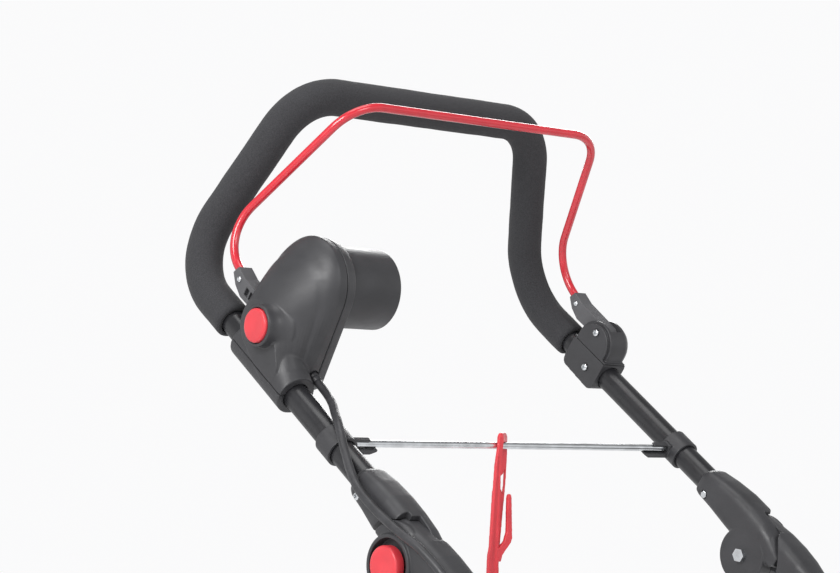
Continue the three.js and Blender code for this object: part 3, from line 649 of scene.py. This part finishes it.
# ---------------------------------------------------------------- bail
def make_bail():
    """The bent bar from lever to lever, level across the grip."""
    shoulder, corner = BAIL_SHOULDER, BAIL_CORNER
    end = Vector((-shoulder.x, *BAIL_END))
    corners = [end, MIRROR @ shoulder, MIRROR @ corner, corner, shoulder, MIRROR @ end]
    points, directions = pipe_path(corners, [*BAIL_BENDS, *reversed(BAIL_BENDS)], 3)
    obj = sweep("bail", points, directions, BAIL_R, 40)
    settle(obj, "bail_bar", "bail", "red_paint", ["bail_rod"], sharp=60)


def make_rivet(side, mirrored):
    """A rivet with a low dome at each end, through the lever and the bail's end."""
    inner, outer = LEVER_X[1] + GAP, LEVER_X[0] - GAP
    shank = 1.6
    dome = ((1.3, 0), (1.25, 1.2), (0.9, 2.3), (0.4, 2.9), (0, 3.0))
    profile = [(inner + out, radius) for out, radius in dome] + [(inner, shank), (outer, shank)]
    profile += [(outer - out, radius) for out, radius in reversed(dome)]
    obj = lathe("rivet", profile, RIVET, 40)
    settle(obj, f"bail_rivet_head_{side}", "bail", "zinc", [f"bail_rivet_{side}"], mirrored=mirrored,
           sharp=50)


make_bail()
for side, mirrored in SIDES:
    moulded_copy(f"bail_lever_{side}", f"bail_lever_body_{side}", "bail", "grey_plastic", 0.4, 3)
    make_rivet(side, mirrored)


# ---------------------------------------------------------------- screws
def screw(face, end, place, head=3.8, shank=2.2, nut=None):
    """A pan head screw along x with a cross recess, its shank ending at end, and a nut there or not."""
    way = 1 if end > face else -1
    profile = [(face, 0), (face + way * 0.05, head * 0.45), (face + way * 0.4, head * 0.76),
               (face + way * 1.0, head * 0.95), (face + way * 1.7, head), (face + way * 2.4, head),
               (face + way * 2.4, shank), (end - way * 0.8, shank), (end, shank * 0.7)]
    obj = lathe("screw", profile, place, 40)
    y, z = place
    depth = sorted((face - way * 1, face + way * 1.5))
    long, wide = head * 0.52, head * 0.13
    cut(obj, box(depth, (y - long, y + long), (z - wide, z + wide)),
        box(depth, (y - wide, y + wide), (z - long, z + long)))
    if nut:
        near, away = nut
        profile = [(near, 3.3), (near + 0.5, 3.8), (away - 0.5, 3.8), (away, 3.3)]
        join(obj, lathe("nut", profile, place, 6))
    return obj


def make_screws():
    for i, place in enumerate(CASE_SCREWS):
        settle(screw(CASE_FACE + 2.7, CASE_SPLIT - 10, place, 3.6, 1.9), f"case_screw_head_{i + 1}",
               "upper_handle", "zinc", [f"case_screw_{i + 1}"], sharp=40)
    face, end = HOUSING_X[0] - 2.6, HOUSING_X[1] - 1
    settle(screw(face, end, BAIL_PIVOT), "housing_pan_screw_upper", "upper_handle", "zinc",
           ["housing_screw_upper"], sharp=40)
    settle(screw(face, end, HOUSING_LOWER_SCREW), "housing_pan_screw_lower", "upper_handle", "zinc",
           ["housing_screw_lower"], sharp=40)
    settle(screw(-213.4, -241, BAIL_PIVOT, 3.8, 2.1), "lever_pivot_screw", "upper_handle", "zinc",
           ["lever_pin_near"], sharp=40)
    for side, mirrored in SIDES:
        for level, place, body in (("upper", UPPER_BOLT, "upper_handle"),
                                   ("lower", LOWER_BOLT, "lower_frame")):
            settle(screw(-246.2, -212.6, place, nut=(-214.2, -212)), f"{level}_leg_screw_{side}", body,
                   "zinc", [f"{level}_leg_bolt_{side}"], mirrored=mirrored, sharp=40)


make_screws()


# ---------------------------------------------------------------- far lever housing
def make_lever_housing():
    """A drum round the end of the far lever, on a clamp round the leg."""
    centre = (-137.5, 23)
    x0, x1 = HOUSING_X

    def screw_seats(place):
        return [bar_x(x0 - 1, x1 + 1, 2.4, place), bar_x(x0 - 1, x0 + 0.8, 4.6, place)]

    drum_r, step_r = 25.5, 21.6
    profile = fillet([(x0, 21.2, 0), (x0, 22.8, 0), (x0 + 2.4, 22.8, 0), (x0 + 2.4, step_r, 0),
                      (x0 + 3.6, step_r, 0), (x0 + 3.6, drum_r, 0), (x1 - 7, drum_r, 0),
                      (x1 - 6.2, drum_r - 1, 0), (x1 - 5.2, drum_r - 1, 0), (x1, 21, 0)], 1.2, 4)
    cap_z = HOUSING_SPLIT_Z + HALF_GAP
    rings = []
    for x, radius, _ in profile:
        outline = [(centre[0] - radius, cap_z), *arc(centre, radius, 180, 0, 48),
                   (centre[0] + radius, cap_z)]
        rings.append([Vector((x, y, z)) for y, z in outline])
    cap = loft("cap", rings)
    lip = side_profile("lip", [(-165.5, cap_z), (-165.5, 18.2), (-160, 18.6), (-112, 18.6), (-112, cap_z)],
                       x0, x1 - 3)
    join(cap, lip)
    slot_half = 8.5
    slot = side_profile("slot", [(-147, 26), (-147, 47), (-130, 60), (-90, 60), (-90, 15), (-122, 15)],
                        BAIL_SHOULDER.x - slot_half, BAIL_SHOULDER.x + slot_half)
    cut(cap, slot, *screw_seats(BAIL_PIVOT))
    soften(cap, 0.5, 3)
    settle(cap, "lever_housing_drum", "upper_handle", "dark_plastic", ["lever_housing_cap"])

    clamp_z = HOUSING_SPLIT_Z - HALF_GAP
    outline = fillet([(-112, clamp_z, 0), (-112, -11, 0), (-116, -16, 0), (-160, -18, 0), (-165, -14, 0),
                      (-165, clamp_z, 0)], 3.0, 4, closed=True)
    clamp = side_profile("clamp", [(p[0], p[1]) for p in outline], x0, x1)
    cut(clamp, rod((LEG_X, -100, 0), (LEG_X, -180, 0), TUBE_R + GAP), *screw_seats(HOUSING_LOWER_SCREW))
    soften(clamp, 0.5, 3)
    settle(clamp, "lever_housing_base", "upper_handle", "dark_plastic", ["lever_housing_clamp"])


make_lever_housing()


# ---------------------------------------------------------------- switch case
# The crease round the dome is a millimetre deep, and placed by how far it is from rim (0) to crown (1).
CASE_CREASE_AT = 0.36
CASE_CREASE_WIDTH = 0.07


def case_ring(x, closing, inset=0.0, sides=144):
    """The case's outline at one x: the hull of three circles that each close in towards the crown."""
    circles = []
    for (y, z, radius), crown in zip(CASE_OUTLINE, CASE_CROWN_CIRCLES):
        circles.append((y + (crown[0] - y) * closing, z + (crown[1] - z) * closing,
                        radius + (crown[2] - radius) * closing - inset))
    ring = []
    for i in range(sides):
        c, s = math.cos(2 * math.pi * i / sides), math.sin(2 * math.pi * i / sides)
        y, z, radius = max(circles, key=lambda k: k[0] * c + k[1] * s + k[2])
        ring.append(Vector((x, y + radius * c, z + radius * s)))
    return ring


def case_dome(inset, steps=30):
    """The case's whole skin, or with an inset the hollow inside it. It narrows at both ends."""
    if inset:
        rim = ((CASE_FACE - inset, inset + 3), (CASE_SPLIT, inset + 1))
    else:
        rim = ((CASE_FACE, 4.6), (CASE_FACE - 0.8, 3.4), (CASE_FACE - 5, 2.2), (CASE_SPLIT + 1, 1.0),
               (CASE_SPLIT, 1.6), (CASE_SPLIT - 1, 1.0))
    rings = [case_ring(x, 0, narrowing) for x, narrowing in rim]
    crown = CASE_CROWN + inset
    for i in range(steps + 1):
        t = i / steps
        crease = 0 if inset else math.exp(-((t - CASE_CREASE_AT) / CASE_CREASE_WIDTH) ** 2)
        rings.append(case_ring(CASE_WIDEST + (crown - CASE_WIDEST) * t, t ** 1.5, inset + crease))
    return loft("dome", rings)


def start_boss():
    """The raised ring round the start button, flaring out into the dome."""
    profile = [(-228, 30)]
    for i in range(13):
        t = i / 12
        profile.append((-237 - 17 * t, 19.6 + 9 * (1 - t) ** 2.2))
    profile += [(-257.2, 19.4), (-258.2, 18.9), (-258.5, 18.2)]
    return lathe("boss", profile, BUTTON_AXIS, 96)


def leg_fairing(sides=72):
    """Fills the corner between the dome and the saddle on the leg, down to the saddle's end."""
    rings = []
    for y, z, half in ((-216, 0, 19.5), (-206, 2, 22), (-190, 7, 27.5), (-168, 12, 32)):
        turns = [2 * math.pi * i / sides for i in range(sides)]
        rings.append([Vector((-LEG_X + (SADDLE_R + 0.2) * math.cos(a), y, z + half * math.sin(a)))
                      for a in turns])
    return loft("fairing", rings)


def make_switch_case():
    """Three mouldings cut from one skin: outer shell, inner shell, and the clamp under the leg."""
    inside = case_dome(CASE_WALL, 12)
    outside = join(case_dome(0.0), leg_bar(SADDLE_R, *SADDLE_ENDS), leg_fairing())
    leg = leg_bar(TUBE_R + GAP, -80, -240)
    gland = rod(CABLE_EXIT, (-207, -234, 13), CABLE_R + 1.8)
    far = (-400, 400)

    lever_room = 0.8
    outer = join(copy_of(outside), start_boss())
    cut(outer, inside, leg, keep=(inside, leg))
    shelf = box((-247, -209), (-214, -126), (12, 15.5))
    common(shelf, copy_of(outside))
    join(outer, cut(shelf, leg, keep=(leg,)))
    cut(outer, box((CASE_SPLIT - HALF_GAP, 0), far, far), box(far, far, (-400, HALF_GAP)),
        bar_x(-238, -260, BUTTON_R + 0.6, BUTTON_AXIS, 72), bar_x(-200, -245, 7, BUTTON_AXIS),
        box((LEVER_X[0] - lever_room, LEVER_X[1] + lever_room), (-128, -70), (13.5, 56)),
        gland, keep=(gland,))
    soften(outer, 0.8, 5)
    settle(outer, "switch_case_shell_outer", "upper_handle", "dark_plastic", ["switch_case_outer"])

    inner = case_dome(0.0)
    cut(inner, inside, box((-400, CASE_SPLIT + HALF_GAP), far, far),
        bar_x(CASE_FACE + 2, CASE_FACE - 6, COLLAR_R + GAP, COLLAR_AXIS, 96), gland, keep=(gland,))
    cut(inner, *[bar_x(CASE_FACE + 1, CASE_SPLIT - 1, 2.6, place) for place in CASE_SCREWS])
    soften(inner, 0.7, 3)
    settle(inner, "switch_case_shell_inner", "upper_handle", "dark_plastic", ["switch_case_inner"])

    clamp = outside
    cut(clamp, box((CASE_SPLIT - HALF_GAP, 0), far, far), box(far, far, (-HALF_GAP, 400)), leg)
    cut(clamp, *[bar_x(CASE_SPLIT + 1, -212, 2.1, place) for place in CASE_SCREWS])
    soften(clamp, 0.7, 4)
    settle(clamp, "switch_case_leg_clamp", "upper_handle", "dark_plastic", ["switch_leg_clamp"])
    bpy.data.objects.remove(gland)


make_switch_case()


def make_start_button():
    """A dished cap on a stem."""
    stem_end, back, x = -240.5, -249, -261
    profile = [(stem_end, 0), (stem_end, 3), (back, 3), (back, BUTTON_R), (x + 1.9, BUTTON_R),
               (x + 0.9, 15.7), (x + 0.3, 15.1), (x, 14.2), (x + 0.05, 12), (x + 0.35, 8), (x + 0.5, 4),
               (x + 0.55, 0)]
    obj = lathe("button", profile, BUTTON_AXIS, 96)
    settle(obj, "start_button_cap", "start_button", "red_plastic", ["start_button"], sharp=50)


make_start_button()


# ---------------------------------------------------------------- plug inlet
def make_plug_inlet():
    """A flanged collar round an insert with two round pins."""
    r, bore = COLLAR_R, COLLAR_R - COLLAR_WALL
    mouth, floor, flange, back = COLLAR_MOUTH, -182, -191.3, -194
    profile = [(mouth, r - 2.4), (mouth + 0.25, r - 1.6), (mouth, r - 0.9), (mouth - 0.9, r - 0.15),
               (mouth - 2, r), (-187, r), (flange, r), (flange, r + 1.6), (back, r + 1.6), (back, 24),
               (floor, 24), (floor, bore), (mouth - 1.5, bore), (mouth - 0.4, bore + 0.2)]
    collar = lathe("collar", profile, COLLAR_AXIS, 128, closed=True)
    settle(collar, "plug_collar_sleeve", "upper_handle", "dark_plastic", ["plug_collar"], sharp=50)

    disc_r = bore - GAP
    face = -174
    profile = [(face - 0.6, 0), (face - 0.6, disc_r - 6), (face, disc_r - 5.4), (face, disc_r - 0.8),
               (face - 0.6, disc_r), (floor + GAP, disc_r), (floor + GAP, 23.6), (-196, 23.6), (-196, 0)]
    insert = lathe("insert", profile, COLLAR_AXIS, 96)
    pin_r, pin_tip, pin_end = 2.4, -155, -200
    pins = [(COLLAR_AXIS[0] + offset, COLLAR_AXIS[1]) for offset in (-9.5, 9.5)]
    cut(insert, *[bar_x(-170, pin_end, pin_r + 0.2, place) for place in pins])
    settle(insert, "plug_insert_disc", "upper_handle", "grey_plastic", ["plug_insert"], sharp=40)
    for i, place in enumerate(pins):
        profile = [(pin_tip, 0), (pin_tip - 0.2, 1.1), (pin_tip - 1, 1.9), (pin_tip - 2.4, pin_r),
                   (pin_end, pin_r), (pin_end, 0)]
        settle(lathe("pin", profile, place, 32), f"plug_contact_pin_{i + 1}", "upper_handle", "brass",
               [f"plug_pin_{i + 1}"], sharp=50)


make_plug_inlet()


# ---------------------------------------------------------------- cross rod, clips and cord hook
def make_cross_rod():
    """A straight rod with chamfered ends."""
    chamfer = 0.8
    profile = [(-ROD_END, 0), (-ROD_END, 2.6), (-ROD_END + chamfer, ROD_R)]
    profile += [(-ROD_END + chamfer + 2 * (ROD_END - chamfer) * i / 60, ROD_R) for i in range(1, 61)]
    profile += [(ROD_END, 2.6), (ROD_END, 0)]
    obj = lathe("rod", profile, (ROD_Y, 0), 40)
    settle(obj, "hook_rod", "cross_rod", "zinc", ["cross_rod"], sharp=50)


def make_rod_clip(side, mirrored):
    """A band round the leg with a prong over the rod and a longer one, its nose cut away, under it."""
    clip = leg_bar(15.7, -279, -301)
    clear = ROD_R + GAP
    upper = box((-214, -190), (ROD_Y - 2.6, ROD_Y + 2.6), (clear, 5.4))
    lower = box((-214, -179), (ROD_Y - 5, ROD_Y + 5), (-8.8, -clear))
    nose = box((-190, -170), (ROD_Y - 9, ROD_Y + 9), (-12, -7.6))
    hinge = Vector((-183, 0, -9))
    nose.data.transform(Matrix.Translation(hinge) @ Matrix.Rotation(math.radians(-24), 4, "Y")
                        @ Matrix.Translation(-hinge))
    cut(lower, nose)
    root = box((-216, -ROD_END - GAP), (ROD_Y - 5, ROD_Y + 5), (-8.8, 6.2))
    join(clip, root, upper, lower)
    cut(clip, leg_bar(TUBE_R + GAP, -250, -330))
    soften(clip, 0.4, 3)
    settle(clip, f"rod_clip_band_{side}", "upper_handle", "dark_plastic", [f"rod_clip_{side}"],
           mirrored=mirrored)


make_cross_rod()
for side, mirrored in SIDES:
    make_rod_clip(side, mirrored)
moulded_copy("cord_hook", "cord_hook_moulding", "cord_hook", "red_plastic", 0.4, 4)


# ---------------------------------------------------------------- fold knuckles
# Each knuckle is whole away from the joint. At the pivot the upper one keeps only its inner half, and
# the lower one only its outer half, which holds the release button. Each reach is how far from the pivot
# one half clears the other, and SEAM_Y is where the outer seam lies, before and past SEAM_STEP_X.
UPPER_STATIONS = (
    (-342, -13.5, 13.5, -243, -213.5), (-347, -15, 16, -245, -212.5), (-366, -16, 19.2, -247, -211.5),
    (-390, -19, 21.3, -249, -211.5), (-411, -21, 21, -249.5, -211.5), (-432, -21, 18.8, -249.5, -211.5),
    (-447, -19, 14.5, -248.5, -212), (-458, -16, 8.5, -247, -213), (-466, -11, 2.5, -245, -214.5))
LOWER_STATIONS = (
    (-406, -16, 12, -246, -216), (-414, -20, 15, -248, -214.5), (-430, -21, 17, -249.5, -213.5),
    (-450, -21, 19, -249.5, -213), (-470, -19.5, 19, -249, -212), (-490, -16.5, 17.5, -247, -211.5),
    (-507, -14.5, 14.5, -244, -213), (-512, -13.5, 13.5, -243, -213.5))
OUTER_REACH = 40
INNER_REACH = 45.5
SEAM_STEP_X = -238
SEAM_Y = (-411.5, -417)
DISC_R = 28
LOCK_R = 15
PIVOT_BORE = 4.3
RELEASE_R = 17.8
RELEASE_RECESS = 24
RELEASE_FLOOR = -243
PEG_CIRCLE_R = 10.5


def knuckle_skin(stations, sides=72):
    """A rounded skin along the leg through stations of (y, low z, high z, outer x, inner x)."""
    rings = []
    for a, b in zip(stations, stations[1:]):
        for k in range(5):
            t = k / 5
            rings.append([p + (q - p) * t for p, q in zip(a, b)])
    rings.append(list(stations[-1]))

    def rounded(value):
        return math.copysign(abs(value) ** 0.62, value)

    skin = []
    for y, low, high, outer, inner in rings:
        ring = []
        for i in range(sides):
            angle = 2 * math.pi * (i + 0.5) / sides
            ring.append(Vector(((outer + inner) / 2 + (inner - outer) / 2 * rounded(math.cos(angle)), y,
                                (low + high) / 2 + (high - low) / 2 * rounded(math.sin(angle)))))
        skin.append(ring)
    return loft("skin", skin)


def bolt_seats(place):
    """The hole for a leg screw, with wider seats for its head and its nut."""
    head_seat, nut_seat = -243.6, -214.6
    return [bar_x(-270, -200, 2.5, place), bar_x(-270, head_seat, 4.4, place),
            bar_x(nut_seat, -190, 4.4, place)]


def gear_tool(tip, root, x0, x1):
    """The pocket that the lock gear slides into."""
    teeth = 12
    outline = []
    for i in range(teeth * 4):
        radius = tip if i % 4 < 2 else root
        angle = 2 * math.pi * (i + 0.5) / (teeth * 4)
        outline.append((FOLD_PIVOT[0] + radius * math.cos(angle), FOLD_PIVOT[1] + radius * math.sin(angle)))
    return side_profile("gear", outline, x0, x1)


PEG_PLACES = [(FOLD_PIVOT[0] + PEG_CIRCLE_R * math.cos(math.radians(angle)),
               FOLD_PIVOT[1] + PEG_CIRCLE_R * math.sin(math.radians(angle))) for angle in (90, 210, 330)]


def upper_knuckle():
    """Whole above the joint, and only its inner half at the pivot."""
    split = KNUCKLE_SPLIT + HALF_GAP
    far = (-700, 100)
    inner = common(knuckle_skin(UPPER_STATIONS), box((split, -100), far, far))
    disc = [(split, DISC_R), (KNUCKLE_BACK - 1.2, DISC_R), (KNUCKLE_BACK - 0.4, DISC_R - 0.6),
            (KNUCKLE_BACK, DISC_R - 1.6)]
    join(inner, lathe("disc", disc, FOLD_PIVOT, 96))
    outer = knuckle_skin(UPPER_STATIONS)
    cut(outer, box((split + 1, -100), far, far), bar_x(-260, split, OUTER_REACH + GAP, FOLD_PIVOT, 96),
        box((-260, SEAM_STEP_X + 0.1), (-600, SEAM_Y[0]), (-100, 100)),
        box((SEAM_STEP_X, split), (-600, SEAM_Y[1]), (-100, 100)))
    join(inner, outer)
    cut(inner, leg_bar(TUBE_R + GAP, -330, UPPER_LEG_END - GAP),
        gear_tool(LOCK_R + 0.9, LOCK_R - 1.8, KNUCKLE_SPLIT - 1, KNUCKLE_SPLIT + 11.5),
        bar_x(KNUCKLE_SPLIT - 1, KNUCKLE_BACK + 1, PIVOT_BORE, FOLD_PIVOT), *bolt_seats(UPPER_BOLT))
    return inner


def lower_knuckle():
    """Whole below the joint, and only its outer half, with the button's recess, at the pivot."""
    split = KNUCKLE_SPLIT - HALF_GAP
    far = (-700, 100)
    crown = common(knuckle_skin(UPPER_STATIONS), box((-400, split), far, far),
                   bar_x(-260, -200, OUTER_REACH - GAP, FOLD_PIVOT, 128))
    slot = box((-260, -200), (FOLD_PIVOT[0], -380), (-60, 2))
    cut(slot, bar_x(-262, -198, OUTER_REACH - 3.5, FOLD_PIVOT, 128))
    cut(crown, slot)
    seam = box((-260, SEAM_STEP_X - GAP), (-600, SEAM_Y[0] - 2 * GAP), (-100, 100))
    join(seam, box((SEAM_STEP_X - 2 * GAP, split), (-600, SEAM_Y[1] - 2 * GAP), (-100, 100)))
    outer = common(knuckle_skin(LOWER_STATIONS), seam)
    join(outer, crown)
    disc = [(split, DISC_R), (KNUCKLE_FACE + 1.2, DISC_R), (KNUCKLE_FACE + 0.4, DISC_R - 0.6),
            (KNUCKLE_FACE, DISC_R - 1.6)]
    join(outer, lathe("disc", disc, FOLD_PIVOT, 96))
    inner = knuckle_skin(LOWER_STATIONS)
    cut(inner, box((-400, split - 1), far, far), bar_x(split, -200, INNER_REACH + GAP, FOLD_PIVOT, 96),
        box((-260, -200), (FOLD_PIVOT[0], -380), (-100, 100)))
    join(outer, inner)
    cut(outer, leg_bar(TUBE_R + GAP, LOWER_TUBE_TOP + GAP, -530),
        bar_x(KNUCKLE_SPLIT - 6.5, KNUCKLE_SPLIT + 1, LOCK_R + 1, FOLD_PIVOT),
        bar_x(KNUCKLE_FACE - 1, KNUCKLE_SPLIT + 1, PIVOT_BORE, FOLD_PIVOT),
        bar_x(KNUCKLE_FACE - 1, RELEASE_FLOOR, RELEASE_RECESS, FOLD_PIVOT, 96),
        *[bar_x(KNUCKLE_FACE - 1, KNUCKLE_SPLIT + 1, 2.3, place) for place in PEG_PLACES],
        *bolt_seats(LOWER_BOLT))
    return outer


def release_button():
    """A shallow cap, hollow round the pivot bolt's head, on three pegs that reach the lock gear."""
    back, face = RELEASE_FLOOR - 5, KNUCKLE_FACE - 5
    profile = [(back, 0), (back, RELEASE_R), (face + 2.2, RELEASE_R), (face + 1, RELEASE_R - 0.4),
               (face + 0.3, RELEASE_R - 1.2), (face, 15.2), (face + 0.1, 12), (face + 0.5, 6),
               (face + 0.6, 0)]
    cap = lathe("button", profile, FOLD_PIVOT, 96)
    cut(cap, bar_x(back - 1, face + 2.2, 8.6, FOLD_PIVOT))
    return join(cap, *[bar_x(back + 1, KNUCKLE_SPLIT - 3.8, 2, place, 24) for place in PEG_PLACES])


def lower_tube():
    """A tube pressed flat over its last stretch into a rounded foot with a bolt hole."""
    sides, steps = 56, 16
    press_y, press_length = -586, 32
    thin, wide = 4, 17

    def ring(y, half_x, half_z):
        turns = [2 * math.pi * i / sides for i in range(sides)]
        return [Vector((-LEG_X + half_x * math.cos(a), y, half_z * math.sin(a))) for a in turns]

    rings = [ring(LOWER_TUBE_TOP, TUBE_R, TUBE_R), ring(press_y, TUBE_R, TUBE_R)]
    for k in range(1, steps + 1):
        t = k / steps
        ease = t * t * (3 - 2 * t)
        rings.append(ring(press_y - press_length * t, TUBE_R + (thin - TUBE_R) * ease,
                          TUBE_R + (wide - TUBE_R) * ease))
    tube = loft("tube", rings)
    foot = side_profile("foot", [(-606, -15.4), (-606, 15.4), *arc((FOOT_Y, 0), wide, 90, 270, 40)],
                        -LEG_X - thin, -LEG_X + thin)
    join(tube, foot)
    cut(tube, bar_x(-LEG_X - 10, -LEG_X + 10, FOOT_HOLE_R, (FOOT_Y, 0)))
    return soften(tube, 0.75, 3)


def make_folds():
    for side, mirrored in SIDES:
        settle(soften(upper_knuckle(), 0.65, 3), f"fold_knuckle_upper_{side}", "upper_handle",
               "dark_plastic", [f"fold_shell_{side}"], mirrored=mirrored)
        settle(soften(lower_knuckle(), 0.65, 3), f"fold_knuckle_lower_{side}", "lower_frame",
               "dark_plastic", [f"lower_knuckle_{side}"], mirrored=mirrored)
        settle(release_button(), f"fold_release_cap_{side}", f"release_button_{side}", "red_plastic",
               [f"release_button_{side}"], mirrored=mirrored, sharp=50)
        settle(lower_tube(), f"lower_leg_{side}", "lower_frame", "black_paint", [f"lower_tube_{side}"],
               mirrored=mirrored)


make_folds()
moulded_copy("motor_connector", "motor_plug_housing", "lower_frame", "dark_plastic", 0.5, 3)


# ---------------------------------------------------------------- CAD nodes that stay
def dress_frame_nodes():
    """Nodes whose CAD shape is right keep it, with rounded edges and a real surface."""
    slots = {entry["node"]: entry["material_slot"] for entry in frame["record"]["subparts"]}
    edge = math.radians(50)
    for name, obj in frame["nodes"].items():
        if obj.hide_render:
            continue
        obj.data.materials.clear()
        obj.data.materials.append(MATERIALS[slots[name]])
        bevel = obj.modifiers.new("edges", "BEVEL")
        bevel.width = 0.0003
        bevel.segments = 2
        bevel.limit_method = "ANGLE"
        bevel.angle_limit = edge
        obj.data.shade_smooth()
        obj.data.set_sharp_from_angle(angle=edge)


dress_frame_nodes()


# ---------------------------------------------------------------- studio
# In metres, in the row frame.
FLOOR_R = 6
FLOOR_Z = -0.4
LIGHTS_AIM = Vector((0, 0.3, 0.35))
# Each softbox: its place, width and power.
SOFTBOXES = {
    "key_softbox": ((-2.2, -0.2, 1.5), 1.3, 50),
    "front_softbox": ((-0.4, -2.2, 1.5), 1.0, 16),
    "top_softbox": ((-0.3, 0.3, 2.4), 1.4, 14),
    "back_softbox": ((1.6, 1.8, 1.3), 1.0, 18),
}
# How bright the surroundings are, from straight down (0) past eye level (0.5) to straight up (1).
SKY_TONES = ((0.0, 0.12), (0.4, 0.22), (0.46, 0.96), (0.63, 0.96), (0.74, 0.42), (1.0, 0.3))


def make_world():
    """White all round at eye level, dimmer overhead and below, so that round pieces keep their form."""
    world = bpy.data.worlds.new("studio_world")
    bpy.context.scene.world = world
    world.use_nodes = True
    nodes = world.node_tree.nodes
    links = world.node_tree.links
    direction = nodes.new("ShaderNodeTexCoord").outputs["Generated"]
    parts = nodes.new("ShaderNodeSeparateXYZ")
    links.new(direction, parts.inputs["Vector"])
    height = nodes.new("ShaderNodeMapRange")
    height.inputs["From Min"].default_value = -1
    links.new(parts.outputs["Z"], height.inputs["Value"])
    tones = nodes.new("ShaderNodeValToRGB")
    links.new(height.outputs["Result"], tones.inputs["Fac"])
    stops = tones.color_ramp.elements
    for place, _ in SKY_TONES[len(stops):]:
        stops.new(place)
    for stop, (place, level) in zip(stops, SKY_TONES):
        stop.position = place
        stop.color = (level, level, level * 1.006, 1)
    background = nodes["Background"]
    links.new(tones.outputs["Color"], background.inputs["Color"])


def make_studio():
    """A pale floor at the height of the ground under the machine, and softboxes round the part."""
    sides = 96
    turns = [2 * math.pi * i / sides for i in range(sides)]
    rim = [Vector((FLOOR_R * math.cos(a), FLOOR_R * math.sin(a), FLOOR_Z)) for a in turns]
    floor = mesh_object("studio_floor", rim, [tuple(range(sides))])
    pale = Surface("studio_pale", (0.88, 0.88, 0.885), 0.9)
    pale.vary_colour(pale.noise(0.6, 2), 0.3, 0.7, 0.985, 1.0)
    floor.data.materials.append(pale.material)

    for name, (place, size, energy) in SOFTBOXES.items():
        light = bpy.data.objects.new(name, bpy.data.lights.new(name, "AREA"))
        light.data.shape = "DISK"
        light.data.size = size
        light.data.energy = energy
        light.location = place
        light.rotation_mode = "QUATERNION"
        light.rotation_quaternion = (LIGHTS_AIM - Vector(place)).to_track_quat("-Z", "Y")
        bpy.context.scene.collection.objects.link(light)
    bpy.context.scene.view_settings.view_transform = "Standard"


make_world()
make_studio()
